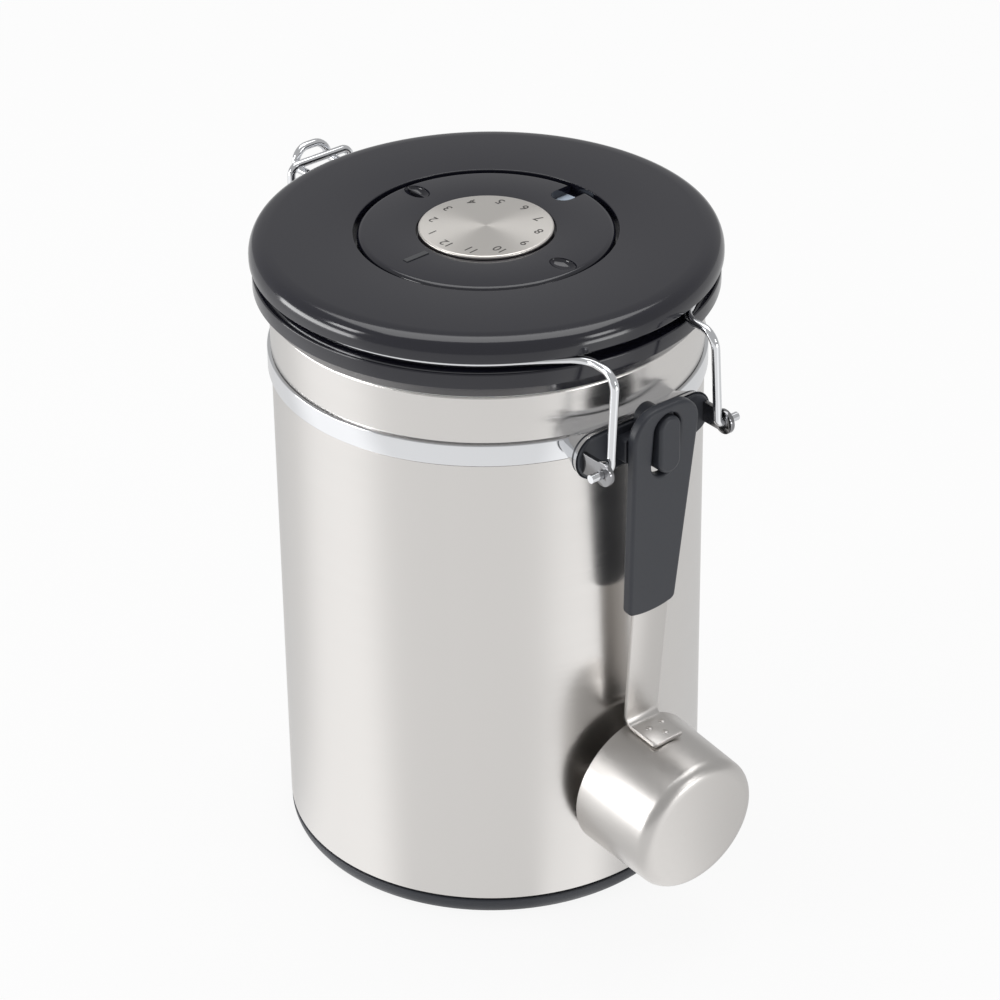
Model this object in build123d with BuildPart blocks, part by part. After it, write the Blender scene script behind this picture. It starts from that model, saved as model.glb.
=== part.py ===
from build123d import *
import math
import os

# Sizes are in millimetres. The origin is on the canister's axis at the table. +Y points to the rear,
# where the lid's hinge and the scoop are, and -Y to the front, where the clamp is. The can's radius
# and the height of its rim carry the rest: a piece's place is a named step from them or from the
# piece that it sits on. A name ending in _N is a distance from the axis along the front-rear line.

# Can: a drawn steel cup with a rolled mouth.
CAN_RADIUS = 60.0
CAN_WALL = 0.8
CAN_RIM_Z = 169.1
MOUTH_BEAD_RADIUS = 0.9
CAN_CORNER_RADIUS = 1.6

# Base ring: a moulded foot under the can.
BASE_TOP_INSET = 0.1
BASE_FOOT_INSET = 2.6
BASE_WIDTH = 10.0
BASE_HEIGHT = 5.1
BASE_RIM_HEIGHT = 1.1
BASE_BULGE = 0.5
BASE_TOP_RADIUS = CAN_RADIUS - BASE_TOP_INSET
BASE_FOOT_RADIUS = CAN_RADIUS - BASE_FOOT_INSET
BASE_BORE_RADIUS = CAN_RADIUS - BASE_WIDTH
BASE_TOP_Z = BASE_HEIGHT
BASE_SIDE_Z = BASE_TOP_Z - BASE_RIM_HEIGHT

# Neck band: a polished strip round the can.
BAND_THICKNESS = 1.0
BAND_HEIGHT = 6.3
BAND_DEPTH_UNDER_RIM = 14.2
BAND_EDGE_RADIUS = 0.3
BAND_RADIUS = CAN_RADIUS + BAND_THICKNESS
BAND_TOP_Z = CAN_RIM_Z - BAND_DEPTH_UNDER_RIM
BAND_BOTTOM_Z = BAND_TOP_Z - BAND_HEIGHT

# Hinge brackets, one at the rear for the bail and one at the front for the clamp.
WIRE_RADIUS = 1.2
PIVOT_DEPTH_UNDER_RIM = 17.3
PIVOT_DISTANCE = 13.8
TRAY_WIDTH = 47.4
TRAY_HEIGHT = 13.2
TRAY_WALL = 0.6
TRAY_FLOOR = 0.6
TRAY_DISTANCE = 4.0
TRAY_DRAFT_DEG = 20.0
TRAY_ROOT_DEPTH = 10.0
BLOCK_SIDE_DEPTH = 2.0
BLOCK_SIDE_EDGE_RADIUS = 1.0
BLOCK_CENTRE_WIDTH = 19.8
BLOCK_CENTRE_HEIGHT = 7.5
BLOCK_CENTRE_CORNER_RADIUS = 1.2
BLOCK_CENTRE_DEPTH = 3.5
BLOCK_EDGE_RADIUS = 0.5
EAR_INSET = 3.2
EAR_THICKNESS = 1.4
EAR_RADIUS = 3.5
WEB_DEPTH_UNDER_TRAY_RIM = 0.8
WEB_HEIGHT = 6.0
WEB_THICKNESS = 1.2
WEB_BEND_RADIUS = 0.9
PIN_CLEARANCE = 0.1
WIRE_SIDE_GAP = 0.4
BOSS_WIDTH = 12.0
BOSS_HEIGHT_OVER_PIVOT = 8.7
BOSS_DEPTH_UNDER_PIVOT = 7.3
BOSS_CORNER_RADIUS = 3.0
PEG_WIDTH = 7.5
PEG_HEIGHT_OVER_PIVOT = 10.2
PEG_DEPTH_UNDER_PIVOT = 6.8
PEG_LENGTH = 7.0
PEG_EDGE_RADIUS = 1.2
PIVOT_N = CAN_RADIUS + PIVOT_DISTANCE
PIVOT_Z = CAN_RIM_Z - PIVOT_DEPTH_UNDER_RIM
TRAY_FRONT_N = CAN_RADIUS + TRAY_DISTANCE
TRAY_ROOT_N = CAN_RADIUS - TRAY_ROOT_DEPTH
EAR_INNER_X = TRAY_WIDTH / 2 - EAR_INSET
BLOCK_SIDE_N = TRAY_FRONT_N + BLOCK_SIDE_DEPTH
BLOCK_FRONT_N = BLOCK_SIDE_N + BLOCK_CENTRE_DEPTH
WEB_BACK_N = TRAY_FRONT_N - WEB_DEPTH_UNDER_TRAY_RIM
BOSS_TOP_Z = PIVOT_Z + BOSS_HEIGHT_OVER_PIVOT
BOSS_BOTTOM_Z = PIVOT_Z - BOSS_DEPTH_UNDER_PIVOT
PEG_TOP_Z = PIVOT_Z + PEG_HEIGHT_OVER_PIVOT
PEG_BOTTOM_Z = PIVOT_Z - PEG_DEPTH_UNDER_PIVOT
PEG_FRONT_N = BLOCK_FRONT_N + PEG_LENGTH
RIVET_RADIUS = 1.6
RIVET_INSET = 8.5
RIVET_HEAD_RADIUS = 2.8
RIVET_HEAD_DEPTH = 1.2
RIVET_UPSET_RADIUS = 2.4
RIVET_UPSET_DEPTH = 0.8
RIVET_X = EAR_INNER_X - RIVET_INSET

# Lid: a cover with a large bevel, and a base with the flange and the plug.
LID_OVERHANG = 4.9
LID_HEIGHT_OVER_RIM = 18.9
LID_COVER_HEIGHT = 6.7
LID_SEAT_DEPTH = 1.7
LID_ROOF_THICKNESS = 2.1
LID_BEVEL_WIDTH = 5.4
LID_BEVEL_HEIGHT = 5.4
LID_BEVEL_MIDDLE_WIDTH = 1.3
LID_BEVEL_MIDDLE_HEIGHT = 2.4
LID_BOTTOM_BEVEL = 0.6
GROOVE_HEIGHT = 3.2
GROOVE_DEPTH = 5.3
GROOVE_WALL = 2.2
FLANGE_INSET = 0.7
FLANGE_HEIGHT = 4.5
FLANGE_CREASE_INSET = 0.6
FLANGE_TOP_EDGE = 0.5
LIP_OVERHANG = 1.1
LIP_GAP = 0.7
GASKET_OVERHANG = 0.5
GASKET_WIDTH = 3.3
GASKET_GAP = 0.3
GASKET_HEIGHT = 2.1
PLUG_INSET = 4.8
PLUG_TAPER = 3.8
PLUG_DEPTH = 7.6
PLUG_WALL = 2.4
PLUG_EDGE_RADIUS = 1.0
LID_PLATE_THICKNESS = 2.0
SCREW_RING_INSET = 9.2
SCREW_BOSS_RADIUS = 3.6
SCREW_SHANK_RADIUS = 1.5
SCREW_HEAD_RADIUS = 2.9
SCREW_HEAD_HEIGHT = 1.5
SCREW_DEPTH = 7.0
SCREW_COUNT = 4
LID_WIDEST_RADIUS = CAN_RADIUS + LID_OVERHANG
LID_TOP_Z = CAN_RIM_Z + LID_HEIGHT_OVER_RIM
LID_COVER_BOTTOM_Z = LID_TOP_Z - LID_COVER_HEIGHT
LID_COVER_SEAT_Z = LID_COVER_BOTTOM_Z + LID_SEAT_DEPTH
LID_COVER_ROOF_Z = LID_TOP_Z - LID_ROOF_THICKNESS
LID_BEVEL_START_RADIUS = LID_WIDEST_RADIUS - LID_BEVEL_WIDTH
LID_BEVEL_MIDDLE_RADIUS = LID_WIDEST_RADIUS - LID_BEVEL_MIDDLE_WIDTH
LID_BEVEL_MIDDLE_Z = LID_TOP_Z - LID_BEVEL_MIDDLE_HEIGHT
LID_BEVEL_END_Z = LID_TOP_Z - LID_BEVEL_HEIGHT
GROOVE_FLOOR_RADIUS = LID_WIDEST_RADIUS - GROOVE_DEPTH
FLANGE_RADIUS = LID_WIDEST_RADIUS - FLANGE_INSET
FLANGE_TOP_Z = LID_COVER_BOTTOM_Z - GROOVE_HEIGHT
FLANGE_BOTTOM_Z = FLANGE_TOP_Z - FLANGE_HEIGHT
FLANGE_CREASE_RADIUS = FLANGE_RADIUS - FLANGE_CREASE_INSET
LIP_RADIUS = CAN_RADIUS + LIP_OVERHANG
LIP_BOTTOM_Z = CAN_RIM_Z + LIP_GAP
GASKET_OUTER_RADIUS = CAN_RADIUS + GASKET_OVERHANG
GASKET_INNER_RADIUS = GASKET_OUTER_RADIUS - GASKET_WIDTH
GASKET_BOTTOM_Z = CAN_RIM_Z + GASKET_GAP
GASKET_TOP_Z = GASKET_BOTTOM_Z + GASKET_HEIGHT
PLUG_TOP_RADIUS = CAN_RADIUS - PLUG_INSET
PLUG_BOTTOM_RADIUS = PLUG_TOP_RADIUS - PLUG_TAPER
PLUG_BOTTOM_Z = CAN_RIM_Z - PLUG_DEPTH
LID_PLATE_BOTTOM_Z = GASKET_TOP_Z
LID_PLATE_TOP_Z = LID_PLATE_BOTTOM_Z + LID_PLATE_THICKNESS
SCREW_RING_RADIUS = PLUG_TOP_RADIUS - SCREW_RING_INSET

# Bail: one steel wire from the rear pins round the lid's groove to the hook at the front.
BAIL_PIN_END_LENGTH = 3.9
BAIL_KNEE_RADIUS = 1.9
BAIL_SHOULDER_INSET = 1.6
BAIL_SHOULDER_RADIUS = 5.0
BAIL_TURN_RADIUS = 8.0
GROOVE_WIRE_GAP = 0.2
GROOVE_ENTRY_WIDTH = 16.6
HOOK_LEAVE_X = 9.0
HOOK_HALF_WIDTH = 5.9
HOOK_TOP_INSET = 1.0
HOOK_BEND_DISTANCE = 14.3
HOOK_TOP_DISTANCE = 0.8
HOOK_DROP = 0.8
HOOK_HEIGHT = 4.4
HOOK_SIDE_RADIUS = 2.2
HOOK_BEND_RADIUS = 1.8
HOOK_CORNER_RADIUS = 4.4
BAIL_KNEE_X = EAR_INNER_X - WIRE_RADIUS - WIRE_SIDE_GAP
BAIL_PIN_END_X = EAR_INNER_X + EAR_THICKNESS + BAIL_PIN_END_LENGTH
BAIL_SHOULDER_X = BAIL_KNEE_X - BAIL_SHOULDER_INSET
GROOVE_WIRE_RADIUS = GROOVE_FLOOR_RADIUS + WIRE_RADIUS + GROOVE_WIRE_GAP
GROOVE_WIRE_Z = FLANGE_TOP_Z + GROOVE_HEIGHT / 2
GROOVE_ENTRY_X = BAIL_SHOULDER_X + GROOVE_ENTRY_WIDTH
HOOK_TOP_HALF_WIDTH = HOOK_HALF_WIDTH - HOOK_TOP_INSET
HOOK_BEND_N = LID_WIDEST_RADIUS + HOOK_BEND_DISTANCE
HOOK_TOP_N = HOOK_BEND_N + HOOK_TOP_DISTANCE
HOOK_BEND_Z = GROOVE_WIRE_Z - HOOK_DROP
HOOK_TOP_Z = GROOVE_WIRE_Z + HOOK_HEIGHT

# Clamp: the link that pulls on the hook, and the lever that the link hangs on.
LEVER_WIRE_RADIUS = 1.3
CRANK_INSET = 2.6
CRANK_DEPTH_UNDER_PIVOT = 9.0
LINK_BAR_INSET = 3.9
LINK_BAR_HEIGHT = 2.1
LINK_BAR_HALF_WIDTH = 10.2
LINK_CORNER_RADIUS = 2.6
LINK_EYE_X = 12.4
LINK_STRAIGHT_HEIGHT = 7.2
LINK_STRAIGHT_RADIUS = 12.0
LINK_EYE_SWEEP_DEG = 250.0
EYE_CLEARANCE = 0.08
LEVER_PIN_END_LENGTH = 3.5
LEVER_KNEE_RADIUS = 2.2
LEVER_HANDLE_X = 8.0
LEVER_HANDLE_LENGTH = 25.8
LEVER_HANDLE_DISTANCE = 1.8
LEVER_TIP_LENGTH = 9.0
LEVER_TIP_DISTANCE = 4.0
LEVER_HANDLE_RADIUS = 8.0
LEVER_TIP_RADIUS = 4.5
CRANK_N = PIVOT_N - CRANK_INSET
CRANK_Z = PIVOT_Z - CRANK_DEPTH_UNDER_PIVOT
LINK_BAR_N = HOOK_BEND_N - LINK_BAR_INSET
LINK_BAR_Z = GROOVE_WIRE_Z + LINK_BAR_HEIGHT
LINK_STRAIGHT_Z = CRANK_Z + LINK_STRAIGHT_HEIGHT
LEVER_ARM_X = EAR_INNER_X - LEVER_WIRE_RADIUS - WIRE_SIDE_GAP
LEVER_PIN_END_X = EAR_INNER_X + EAR_THICKNESS + LEVER_PIN_END_LENGTH
LEVER_HANDLE_N = CRANK_N + LEVER_HANDLE_DISTANCE
LEVER_HANDLE_Z = CRANK_Z - LEVER_HANDLE_LENGTH
LEVER_TIP_N = LEVER_HANDLE_N + LEVER_TIP_DISTANCE
LEVER_TIP_Z = LEVER_HANDLE_Z - LEVER_TIP_LENGTH

# Insert in the lid's top: a fixed disc, a ring that turns over it and a dial in the middle.
DIAL_RADIUS = 18.57
DIAL_THICKNESS = 2.0
DIAL_HEIGHT_OVER_RING = 0.9
DIAL_GAP = 0.53
DIAL_EDGE_RADIUS = 0.5
RING_WIDTH = 16.2
RING_THICKNESS = 2.4
RING_LEDGE_WIDTH = 2.5
RING_LEDGE_THICKNESS = 0.9
RING_GAP = 1.0
RING_EDGE_RADIUS = 0.35
RECESS_WALL = 2.4
RECESS_DEPTH = 3.4
RECESS_FLOOR_THICKNESS = 1.6
DISC_OUTER_INSET = 1.1
DISC_INNER_INSET = 2.9
DISC_THICKNESS = 0.7
WINDOW_DEG = 183.6
WINDOW_LENGTH = 9.6
WINDOW_WIDTH = 6.8
DIMPLE_DEGS = (94.4, 270.8)
DIMPLE_INSET = 5.5
DIMPLE_LENGTH = 8.8
DIMPLE_WIDTH = 5.8
DIMPLE_DEPTH = 1.5
DIMPLE_RIB_WIDTH = 0.5
DIMPLE_RIB_INSET = 0.4
ACROSS_DEG = 90.0
POINTER_DEG = 2.0
POINTER_INSET = 1.3
POINTER_LENGTH = 8.0
POINTER_WIDTH = 1.4
POINTER_HEIGHT = 0.25
HUB_GAP = 0.4
HUB_DEPTH = 0.7
STEM_RADIUS = 4.0
STEM_GAP = 0.3
STEM_LENGTH = 2.4
CLIP_GROOVE_RADIUS = 3.2
CLIP_WIDTH = 3.2
CLIP_GAP = 0.3
CLIP_THICKNESS = 0.8
RING_BORE_RADIUS = DIAL_RADIUS + DIAL_GAP
RING_OUTER_RADIUS = RING_BORE_RADIUS + RING_WIDTH
RING_LEDGE_RADIUS = RING_BORE_RADIUS - RING_LEDGE_WIDTH
RING_TOP_Z = LID_TOP_Z
RING_BOTTOM_Z = RING_TOP_Z - RING_THICKNESS
RING_LEDGE_TOP_Z = RING_BOTTOM_Z + RING_LEDGE_THICKNESS
RECESS_RADIUS = RING_OUTER_RADIUS + RING_GAP
RECESS_FLOOR_TOP_Z = LID_TOP_Z - RECESS_DEPTH
RECESS_FLOOR_BOTTOM_Z = RECESS_FLOOR_TOP_Z - RECESS_FLOOR_THICKNESS
DISC_OUTER_RADIUS = RING_OUTER_RADIUS - DISC_OUTER_INSET
DISC_INNER_RADIUS = RING_BORE_RADIUS + DISC_INNER_INSET
DIMPLE_RADIUS = RING_OUTER_RADIUS - DIMPLE_INSET
POINTER_INNER_RADIUS = RING_BORE_RADIUS + POINTER_INSET
DIAL_TOP_Z = RING_TOP_Z + DIAL_HEIGHT_OVER_RING
DIAL_BOTTOM_Z = DIAL_TOP_Z - DIAL_THICKNESS
HUB_RADIUS = RING_LEDGE_RADIUS - HUB_GAP
HUB_BOTTOM_Z = RING_BOTTOM_Z - HUB_DEPTH
STEM_HOLE_RADIUS = STEM_RADIUS + STEM_GAP
STEM_BOTTOM_Z = RECESS_FLOOR_BOTTOM_Z - STEM_LENGTH
CLIP_RADIUS = CLIP_GROOVE_RADIUS + CLIP_WIDTH
CLIP_TOP_Z = RECESS_FLOOR_BOTTOM_Z - CLIP_GAP

# Valve: a one-way vent clipped into the lid's plate.
VALVE_BARREL_RADIUS = 9.0
VALVE_BARREL_WALL = 1.4
VALVE_BARREL_HEIGHT = 2.2
VALVE_FLANGE_WIDTH = 3.5
VALVE_FLANGE_THICKNESS = 1.3
VALVE_SEAT_THICKNESS = 1.2
VALVE_SEAT_HEIGHT = 0.5
VALVE_HOLE_RADIUS = 0.9
VALVE_HOLE_RING_RADIUS = 3.4
VALVE_HOLE_COUNT = 6
FLAP_INSET = 1.4
FLAP_GAP = 0.1
FLAP_THICKNESS = 0.8
VALVE_CAP_WALL = 1.2
FILTER_THICKNESS = 1.3
VALVE_BARREL_BORE = VALVE_BARREL_RADIUS - VALVE_BARREL_WALL
VALVE_BARREL_TOP_Z = LID_PLATE_TOP_Z + VALVE_BARREL_HEIGHT
VALVE_FLANGE_RADIUS = VALVE_BARREL_RADIUS + VALVE_FLANGE_WIDTH
VALVE_FLANGE_BOTTOM_Z = LID_PLATE_BOTTOM_Z - VALVE_FLANGE_THICKNESS
VALVE_SEAT_BOTTOM_Z = LID_PLATE_BOTTOM_Z + VALVE_SEAT_HEIGHT
VALVE_SEAT_TOP_Z = VALVE_SEAT_BOTTOM_Z + VALVE_SEAT_THICKNESS
FLAP_RADIUS = VALVE_BARREL_BORE - FLAP_INSET
FLAP_BOTTOM_Z = VALVE_SEAT_TOP_Z + FLAP_GAP
VALVE_CAP_RADIUS = VALVE_BARREL_RADIUS + VALVE_CAP_WALL
VALVE_CAP_TOP_Z = VALVE_BARREL_TOP_Z + VALVE_CAP_WALL

# Scoop: it hangs on the peg by the grip's slot and its cup leans on the can. It is measured in its
# own leaning frame: out from the cup's mouth, and up along the handle from the cup's middle.
CUP_DISTANCE = 2.3
CUP_AXIS_HEIGHT = 39.6
HANG_DISTANCE = 3.72
CUP_RIM_RADIUS = 21.0
CUP_TAPER = 0.6
CUP_DEPTH = 28.5
CUP_WALL = 0.8
CUP_CORNER_RADIUS = 4.0
SLOT_PEG_GAP = 0.6
SLOT_SIDE_GAP = 0.65
SLOT_LENGTH = 19.3
GRIP_HEAD_WALL = 2.7
GRIP_HEAD_HALF_WIDTH = 11.7
GRIP_HEAD_CROWN = 0.6
GRIP_HEAD_CORNER_RADIUS = 8.0
GRIP_LENGTH = 65.8
GRIP_BOTTOM_HALF_WIDTH = 8.2
GRIP_BOTTOM_SAG = 1.8
GRIP_CORNER_RADIUS = 1.8
GRIP_EDGE_RADIUS = 1.2
GRIP_THICKNESS = 3.5
GRIP_WALL = 1.6
STRAP_BACK = 0.3
STRAP_THICKNESS = 1.2
STRAP_HIDDEN_LENGTH = 25.6
STRAP_TOP_WIDTH = 11.2
STRAP_BOTTOM_WIDTH = 10.0
STRAP_TIP_CORNER = 1.0
STRAP_BEND_RADIUS = 2.2
STRAP_FLANGE_LENGTH = 13.2
WELD_RADIUS = 0.8
WELD_HEIGHT = 0.3
WELD_TAPER_DEG = 22.5
WELD_SPOTS = ((4.0, 6.5), (-1.0, 6.5), (1.5, 10.4))
SCOOP_RIM_N = CAN_RADIUS + CUP_DISTANCE
SCOOP_RIM_Z = CUP_AXIS_HEIGHT
CUP_FLOOR_RADIUS = CUP_RIM_RADIUS - CUP_TAPER
HANG_N = BLOCK_FRONT_N + HANG_DISTANCE
SCOOP_LEAN = math.atan2(HANG_N - SCOOP_RIM_N, PEG_TOP_Z - SCOOP_RIM_Z)
SLOT_TOP_UP = math.hypot(HANG_N - SCOOP_RIM_N, PEG_TOP_Z - SCOOP_RIM_Z) + SLOT_PEG_GAP
SLOT_BOTTOM_UP = SLOT_TOP_UP - SLOT_LENGTH
SLOT_WIDTH = PEG_WIDTH + 2 * SLOT_SIDE_GAP
GRIP_BACK = STRAP_BACK - GRIP_WALL
GRIP_TOP_UP = SLOT_TOP_UP + GRIP_HEAD_WALL
GRIP_BOTTOM_UP = GRIP_TOP_UP - GRIP_LENGTH
STRAP_TOP_UP = GRIP_BOTTOM_UP + STRAP_HIDDEN_LENGTH
STRAP_SHELF_UP = CUP_RIM_RADIUS + STRAP_THICKNESS

OUTPUT = "parts"


def facing(side, n, z):
    """Plane across the radial direction: side 1 looks out to the rear, side -1 to the front."""
    return Plane(origin=(0, side * n, z), x_dir=(-side, 0, 0), z_dir=(0, side, 0))


def save(solid, name):
    solid.label = name
    export_step(solid, os.path.join(OUTPUT, name + ".step"))


def rivet_pair(side):
    """Two rivets of one bracket, headed inside the can and upset in front of the hinge plate."""
    inner_radius = CAN_RADIUS - CAN_WALL
    seat_n = math.sqrt(inner_radius**2 - RIVET_X**2)
    web_front_n = WEB_BACK_N + WEB_THICKNESS
    with BuildPart() as rivets:
        with BuildSketch(facing(side, seat_n - RIVET_HEAD_DEPTH, PIVOT_Z)):
            with Locations((-RIVET_X, 0), (RIVET_X, 0)):
                Circle(RIVET_HEAD_RADIUS)
        extrude(amount=RIVET_HEAD_DEPTH + RIVET_HEAD_DEPTH)
        with BuildSketch(Plane.XY.offset(BAND_BOTTOM_Z)):
            Circle(BAND_RADIUS + BAND_RADIUS)
            Circle(inner_radius, mode=Mode.SUBTRACT)
        extrude(amount=BAND_TOP_Z - BAND_BOTTOM_Z, mode=Mode.SUBTRACT)
        with BuildSketch(facing(side, seat_n - RIVET_HEAD_DEPTH, PIVOT_Z)):
            with Locations((-RIVET_X, 0), (RIVET_X, 0)):
                Circle(RIVET_RADIUS)
        extrude(amount=web_front_n - seat_n + RIVET_HEAD_DEPTH)
        with BuildSketch(facing(side, web_front_n, PIVOT_Z)):
            with Locations((-RIVET_X, 0), (RIVET_X, 0)):
                Circle(RIVET_UPSET_RADIUS)
        extrude(amount=RIVET_UPSET_DEPTH)
    return rivets.part


def hinge_plate(side, rivets, pin_radius):
    """Steel strip bent to a U: the web lies in the block and the two ears carry the pins."""
    outer_x = EAR_INNER_X + EAR_THICKNESS
    with BuildPart() as plate:
        with BuildSketch(Plane.YZ.offset(EAR_INNER_X)):
            with Locations((side * PIVOT_N, PIVOT_Z)):
                Circle(EAR_RADIUS)
            with Locations((side * (WEB_BACK_N + PIVOT_N) / 2, PIVOT_Z)):
                Rectangle(PIVOT_N - WEB_BACK_N, WEB_HEIGHT)
        extrude(amount=EAR_THICKNESS)
        mirror(about=Plane.YZ)
        with BuildSketch(facing(side, WEB_BACK_N, PIVOT_Z)):
            Rectangle(2 * outer_x, WEB_HEIGHT)
        extrude(amount=WEB_THICKNESS)
        bends = plate.edges().filter_by(Axis.Z).sort_by(lambda edge: side * edge.center().Y)
        fillet(bends[0:2], WEB_BEND_RADIUS)
        with BuildSketch(Plane.YZ):
            with Locations((side * PIVOT_N, PIVOT_Z)):
                Circle(pin_radius + PIN_CLEARANCE)
        extrude(amount=outer_x, both=True, mode=Mode.SUBTRACT)
        add(rivets, mode=Mode.SUBTRACT)
    return plate.part


def tray_pocket(side):
    """The space inside a tray, in front of its curved floor."""
    with BuildPart() as pocket:
        with BuildSketch(facing(side, TRAY_FRONT_N, PIVOT_Z)):
            SlotOverall(TRAY_WIDTH - 2 * TRAY_WALL, TRAY_HEIGHT - 2 * TRAY_WALL)
        extrude(amount=TRAY_ROOT_N - TRAY_FRONT_N, taper=TRAY_DRAFT_DEG)
        with BuildSketch(Plane.XY.offset(PIVOT_Z - TRAY_HEIGHT)):
            Circle(BAND_RADIUS + TRAY_FLOOR)
        extrude(amount=2 * TRAY_HEIGHT, mode=Mode.SUBTRACT)
    return pocket.part


def bracket_tray(side, pocket, rivets):
    """Polished oval cup on the can's neck. It flares outwards, as a drawn cup does."""
    with BuildPart() as tray:
        with BuildSketch(facing(side, TRAY_FRONT_N, PIVOT_Z)):
            SlotOverall(TRAY_WIDTH, TRAY_HEIGHT)
        extrude(amount=TRAY_ROOT_N - TRAY_FRONT_N, taper=TRAY_DRAFT_DEG)
        with BuildSketch(Plane.XY.offset(PIVOT_Z - TRAY_HEIGHT)):
            Circle(CAN_RADIUS)
        extrude(amount=2 * TRAY_HEIGHT, mode=Mode.SUBTRACT)
        with BuildSketch(Plane.XY.offset(BAND_BOTTOM_Z)):
            Circle(BAND_RADIUS)
        extrude(amount=BAND_TOP_Z - BAND_BOTTOM_Z, mode=Mode.SUBTRACT)
        add(pocket, mode=Mode.SUBTRACT)
        add(rivets, mode=Mode.SUBTRACT)
    return tray.part


def hinge_block(side, pocket, plate, rivets, with_peg):
    """Moulded block that fills the tray and holds the hinge plate; the rear one carries the peg."""
    with BuildPart() as block:
        with BuildSketch(facing(side, TRAY_FRONT_N, PIVOT_Z)):
            SlotOverall(TRAY_WIDTH - 2 * TRAY_WALL, TRAY_HEIGHT - 2 * TRAY_WALL)
        extrude(amount=BLOCK_SIDE_N - TRAY_FRONT_N)
        side_face = block.faces().sort_by(lambda face: side * face.center().Y)[-1]
        fillet(side_face.edges(), BLOCK_SIDE_EDGE_RADIUS)
        add(pocket)
        with BuildSketch(facing(side, TRAY_FRONT_N, PIVOT_Z)):
            RectangleRounded(BLOCK_CENTRE_WIDTH, BLOCK_CENTRE_HEIGHT, BLOCK_CENTRE_CORNER_RADIUS)
        extrude(amount=BLOCK_FRONT_N - TRAY_FRONT_N)
        front = block.faces().sort_by(lambda face: side * face.center().Y)[-1]
        fillet(front.edges(), BLOCK_EDGE_RADIUS)
        if with_peg:
            boss_height = BOSS_TOP_Z - BOSS_BOTTOM_Z
            with BuildSketch(facing(side, BLOCK_SIDE_N, (BOSS_TOP_Z + BOSS_BOTTOM_Z) / 2)):
                RectangleRounded(BOSS_WIDTH, boss_height, BOSS_CORNER_RADIUS)
            extrude(amount=BLOCK_FRONT_N - BLOCK_SIDE_N)
            peg_height = PEG_TOP_Z - PEG_BOTTOM_Z
            with BuildSketch(facing(side, BLOCK_SIDE_N, (PEG_TOP_Z + PEG_BOTTOM_Z) / 2)):
                SlotOverall(peg_height, PEG_WIDTH, rotation=ACROSS_DEG)
            extrude(amount=PEG_FRONT_N - BLOCK_SIDE_N)
            tip = block.faces().sort_by(lambda face: side * face.center().Y)[-1]
            fillet(tip.edges(), PEG_EDGE_RADIUS)
        add(plate, mode=Mode.SUBTRACT)
        add(rivets, mode=Mode.SUBTRACT)
    return block.part


os.makedirs(OUTPUT, exist_ok=True)

rear_rivets = rivet_pair(1)
front_rivets = rivet_pair(-1)
rear_plate = hinge_plate(1, rear_rivets, WIRE_RADIUS)
front_plate = hinge_plate(-1, front_rivets, LEVER_WIRE_RADIUS)
rear_pocket = tray_pocket(1)
front_pocket = tray_pocket(-1)
rear_tray = bracket_tray(1, rear_pocket, rear_rivets)
front_tray = bracket_tray(-1, front_pocket, front_rivets)
rear_block = hinge_block(1, rear_pocket, rear_plate, rear_rivets, True)
front_block = hinge_block(-1, front_pocket, front_plate, front_rivets, False)

# The can is turned from its wall's section. The rolled mouth is a full ring on top of the wall.
with BuildPart() as can_body:
    can_inner_radius = CAN_RADIUS - CAN_WALL
    bead_z = CAN_RIM_Z - MOUTH_BEAD_RADIUS
    with BuildSketch(Plane.XZ):
        with BuildLine():
            Polyline(
                (0, BASE_TOP_Z),
                (CAN_RADIUS, BASE_TOP_Z),
                (CAN_RADIUS, bead_z),
                (can_inner_radius, bead_z),
                (can_inner_radius, BASE_TOP_Z + CAN_WALL),
                (0, BASE_TOP_Z + CAN_WALL),
                close=True,
            )
        make_face()
        outer_corner = vertices().sort_by_distance((CAN_RADIUS, BASE_TOP_Z, 0))[0]
        fillet(outer_corner, CAN_CORNER_RADIUS)
        inner_corner = vertices().sort_by_distance((can_inner_radius, BASE_TOP_Z + CAN_WALL, 0))[0]
        fillet(inner_corner, CAN_CORNER_RADIUS - CAN_WALL)
        with Locations((CAN_RADIUS - MOUTH_BEAD_RADIUS, bead_z)):
            Circle(MOUTH_BEAD_RADIUS)
    revolve(axis=Axis.Z)
    add(rear_rivets, mode=Mode.SUBTRACT)
    add(front_rivets, mode=Mode.SUBTRACT)
save(can_body.part, "can_body")

with BuildPart() as base_ring:
    with BuildSketch(Plane.XZ):
        with BuildLine():
            middle_radius = (BASE_FOOT_RADIUS + BASE_TOP_RADIUS) / 2
            Line((BASE_BORE_RADIUS, 0), (BASE_FOOT_RADIUS, 0))
            ThreePointArc(
                (BASE_FOOT_RADIUS, 0),
                (middle_radius + BASE_BULGE, BASE_SIDE_Z / 2 - BASE_BULGE),
                (BASE_TOP_RADIUS, BASE_SIDE_Z),
            )
            Polyline(
                (BASE_TOP_RADIUS, BASE_SIDE_Z),
                (BASE_TOP_RADIUS, BASE_TOP_Z),
                (BASE_BORE_RADIUS, BASE_TOP_Z),
                (BASE_BORE_RADIUS, 0),
            )
        make_face()
    revolve(axis=Axis.Z)
save(base_ring.part, "base_ring")

with BuildPart() as neck_band:
    with BuildSketch(Plane.XY.offset(BAND_BOTTOM_Z)):
        Circle(BAND_RADIUS)
        Circle(CAN_RADIUS, mode=Mode.SUBTRACT)
    extrude(amount=BAND_TOP_Z - BAND_BOTTOM_Z)
    band_edges = neck_band.edges().filter_by(GeomType.CIRCLE).filter_by(
        lambda edge: edge.radius > (CAN_RADIUS + BAND_RADIUS) / 2
    )
    fillet(band_edges, BAND_EDGE_RADIUS)
    add(rear_rivets, mode=Mode.SUBTRACT)
    add(front_rivets, mode=Mode.SUBTRACT)
save(neck_band.part, "neck_band")

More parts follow.
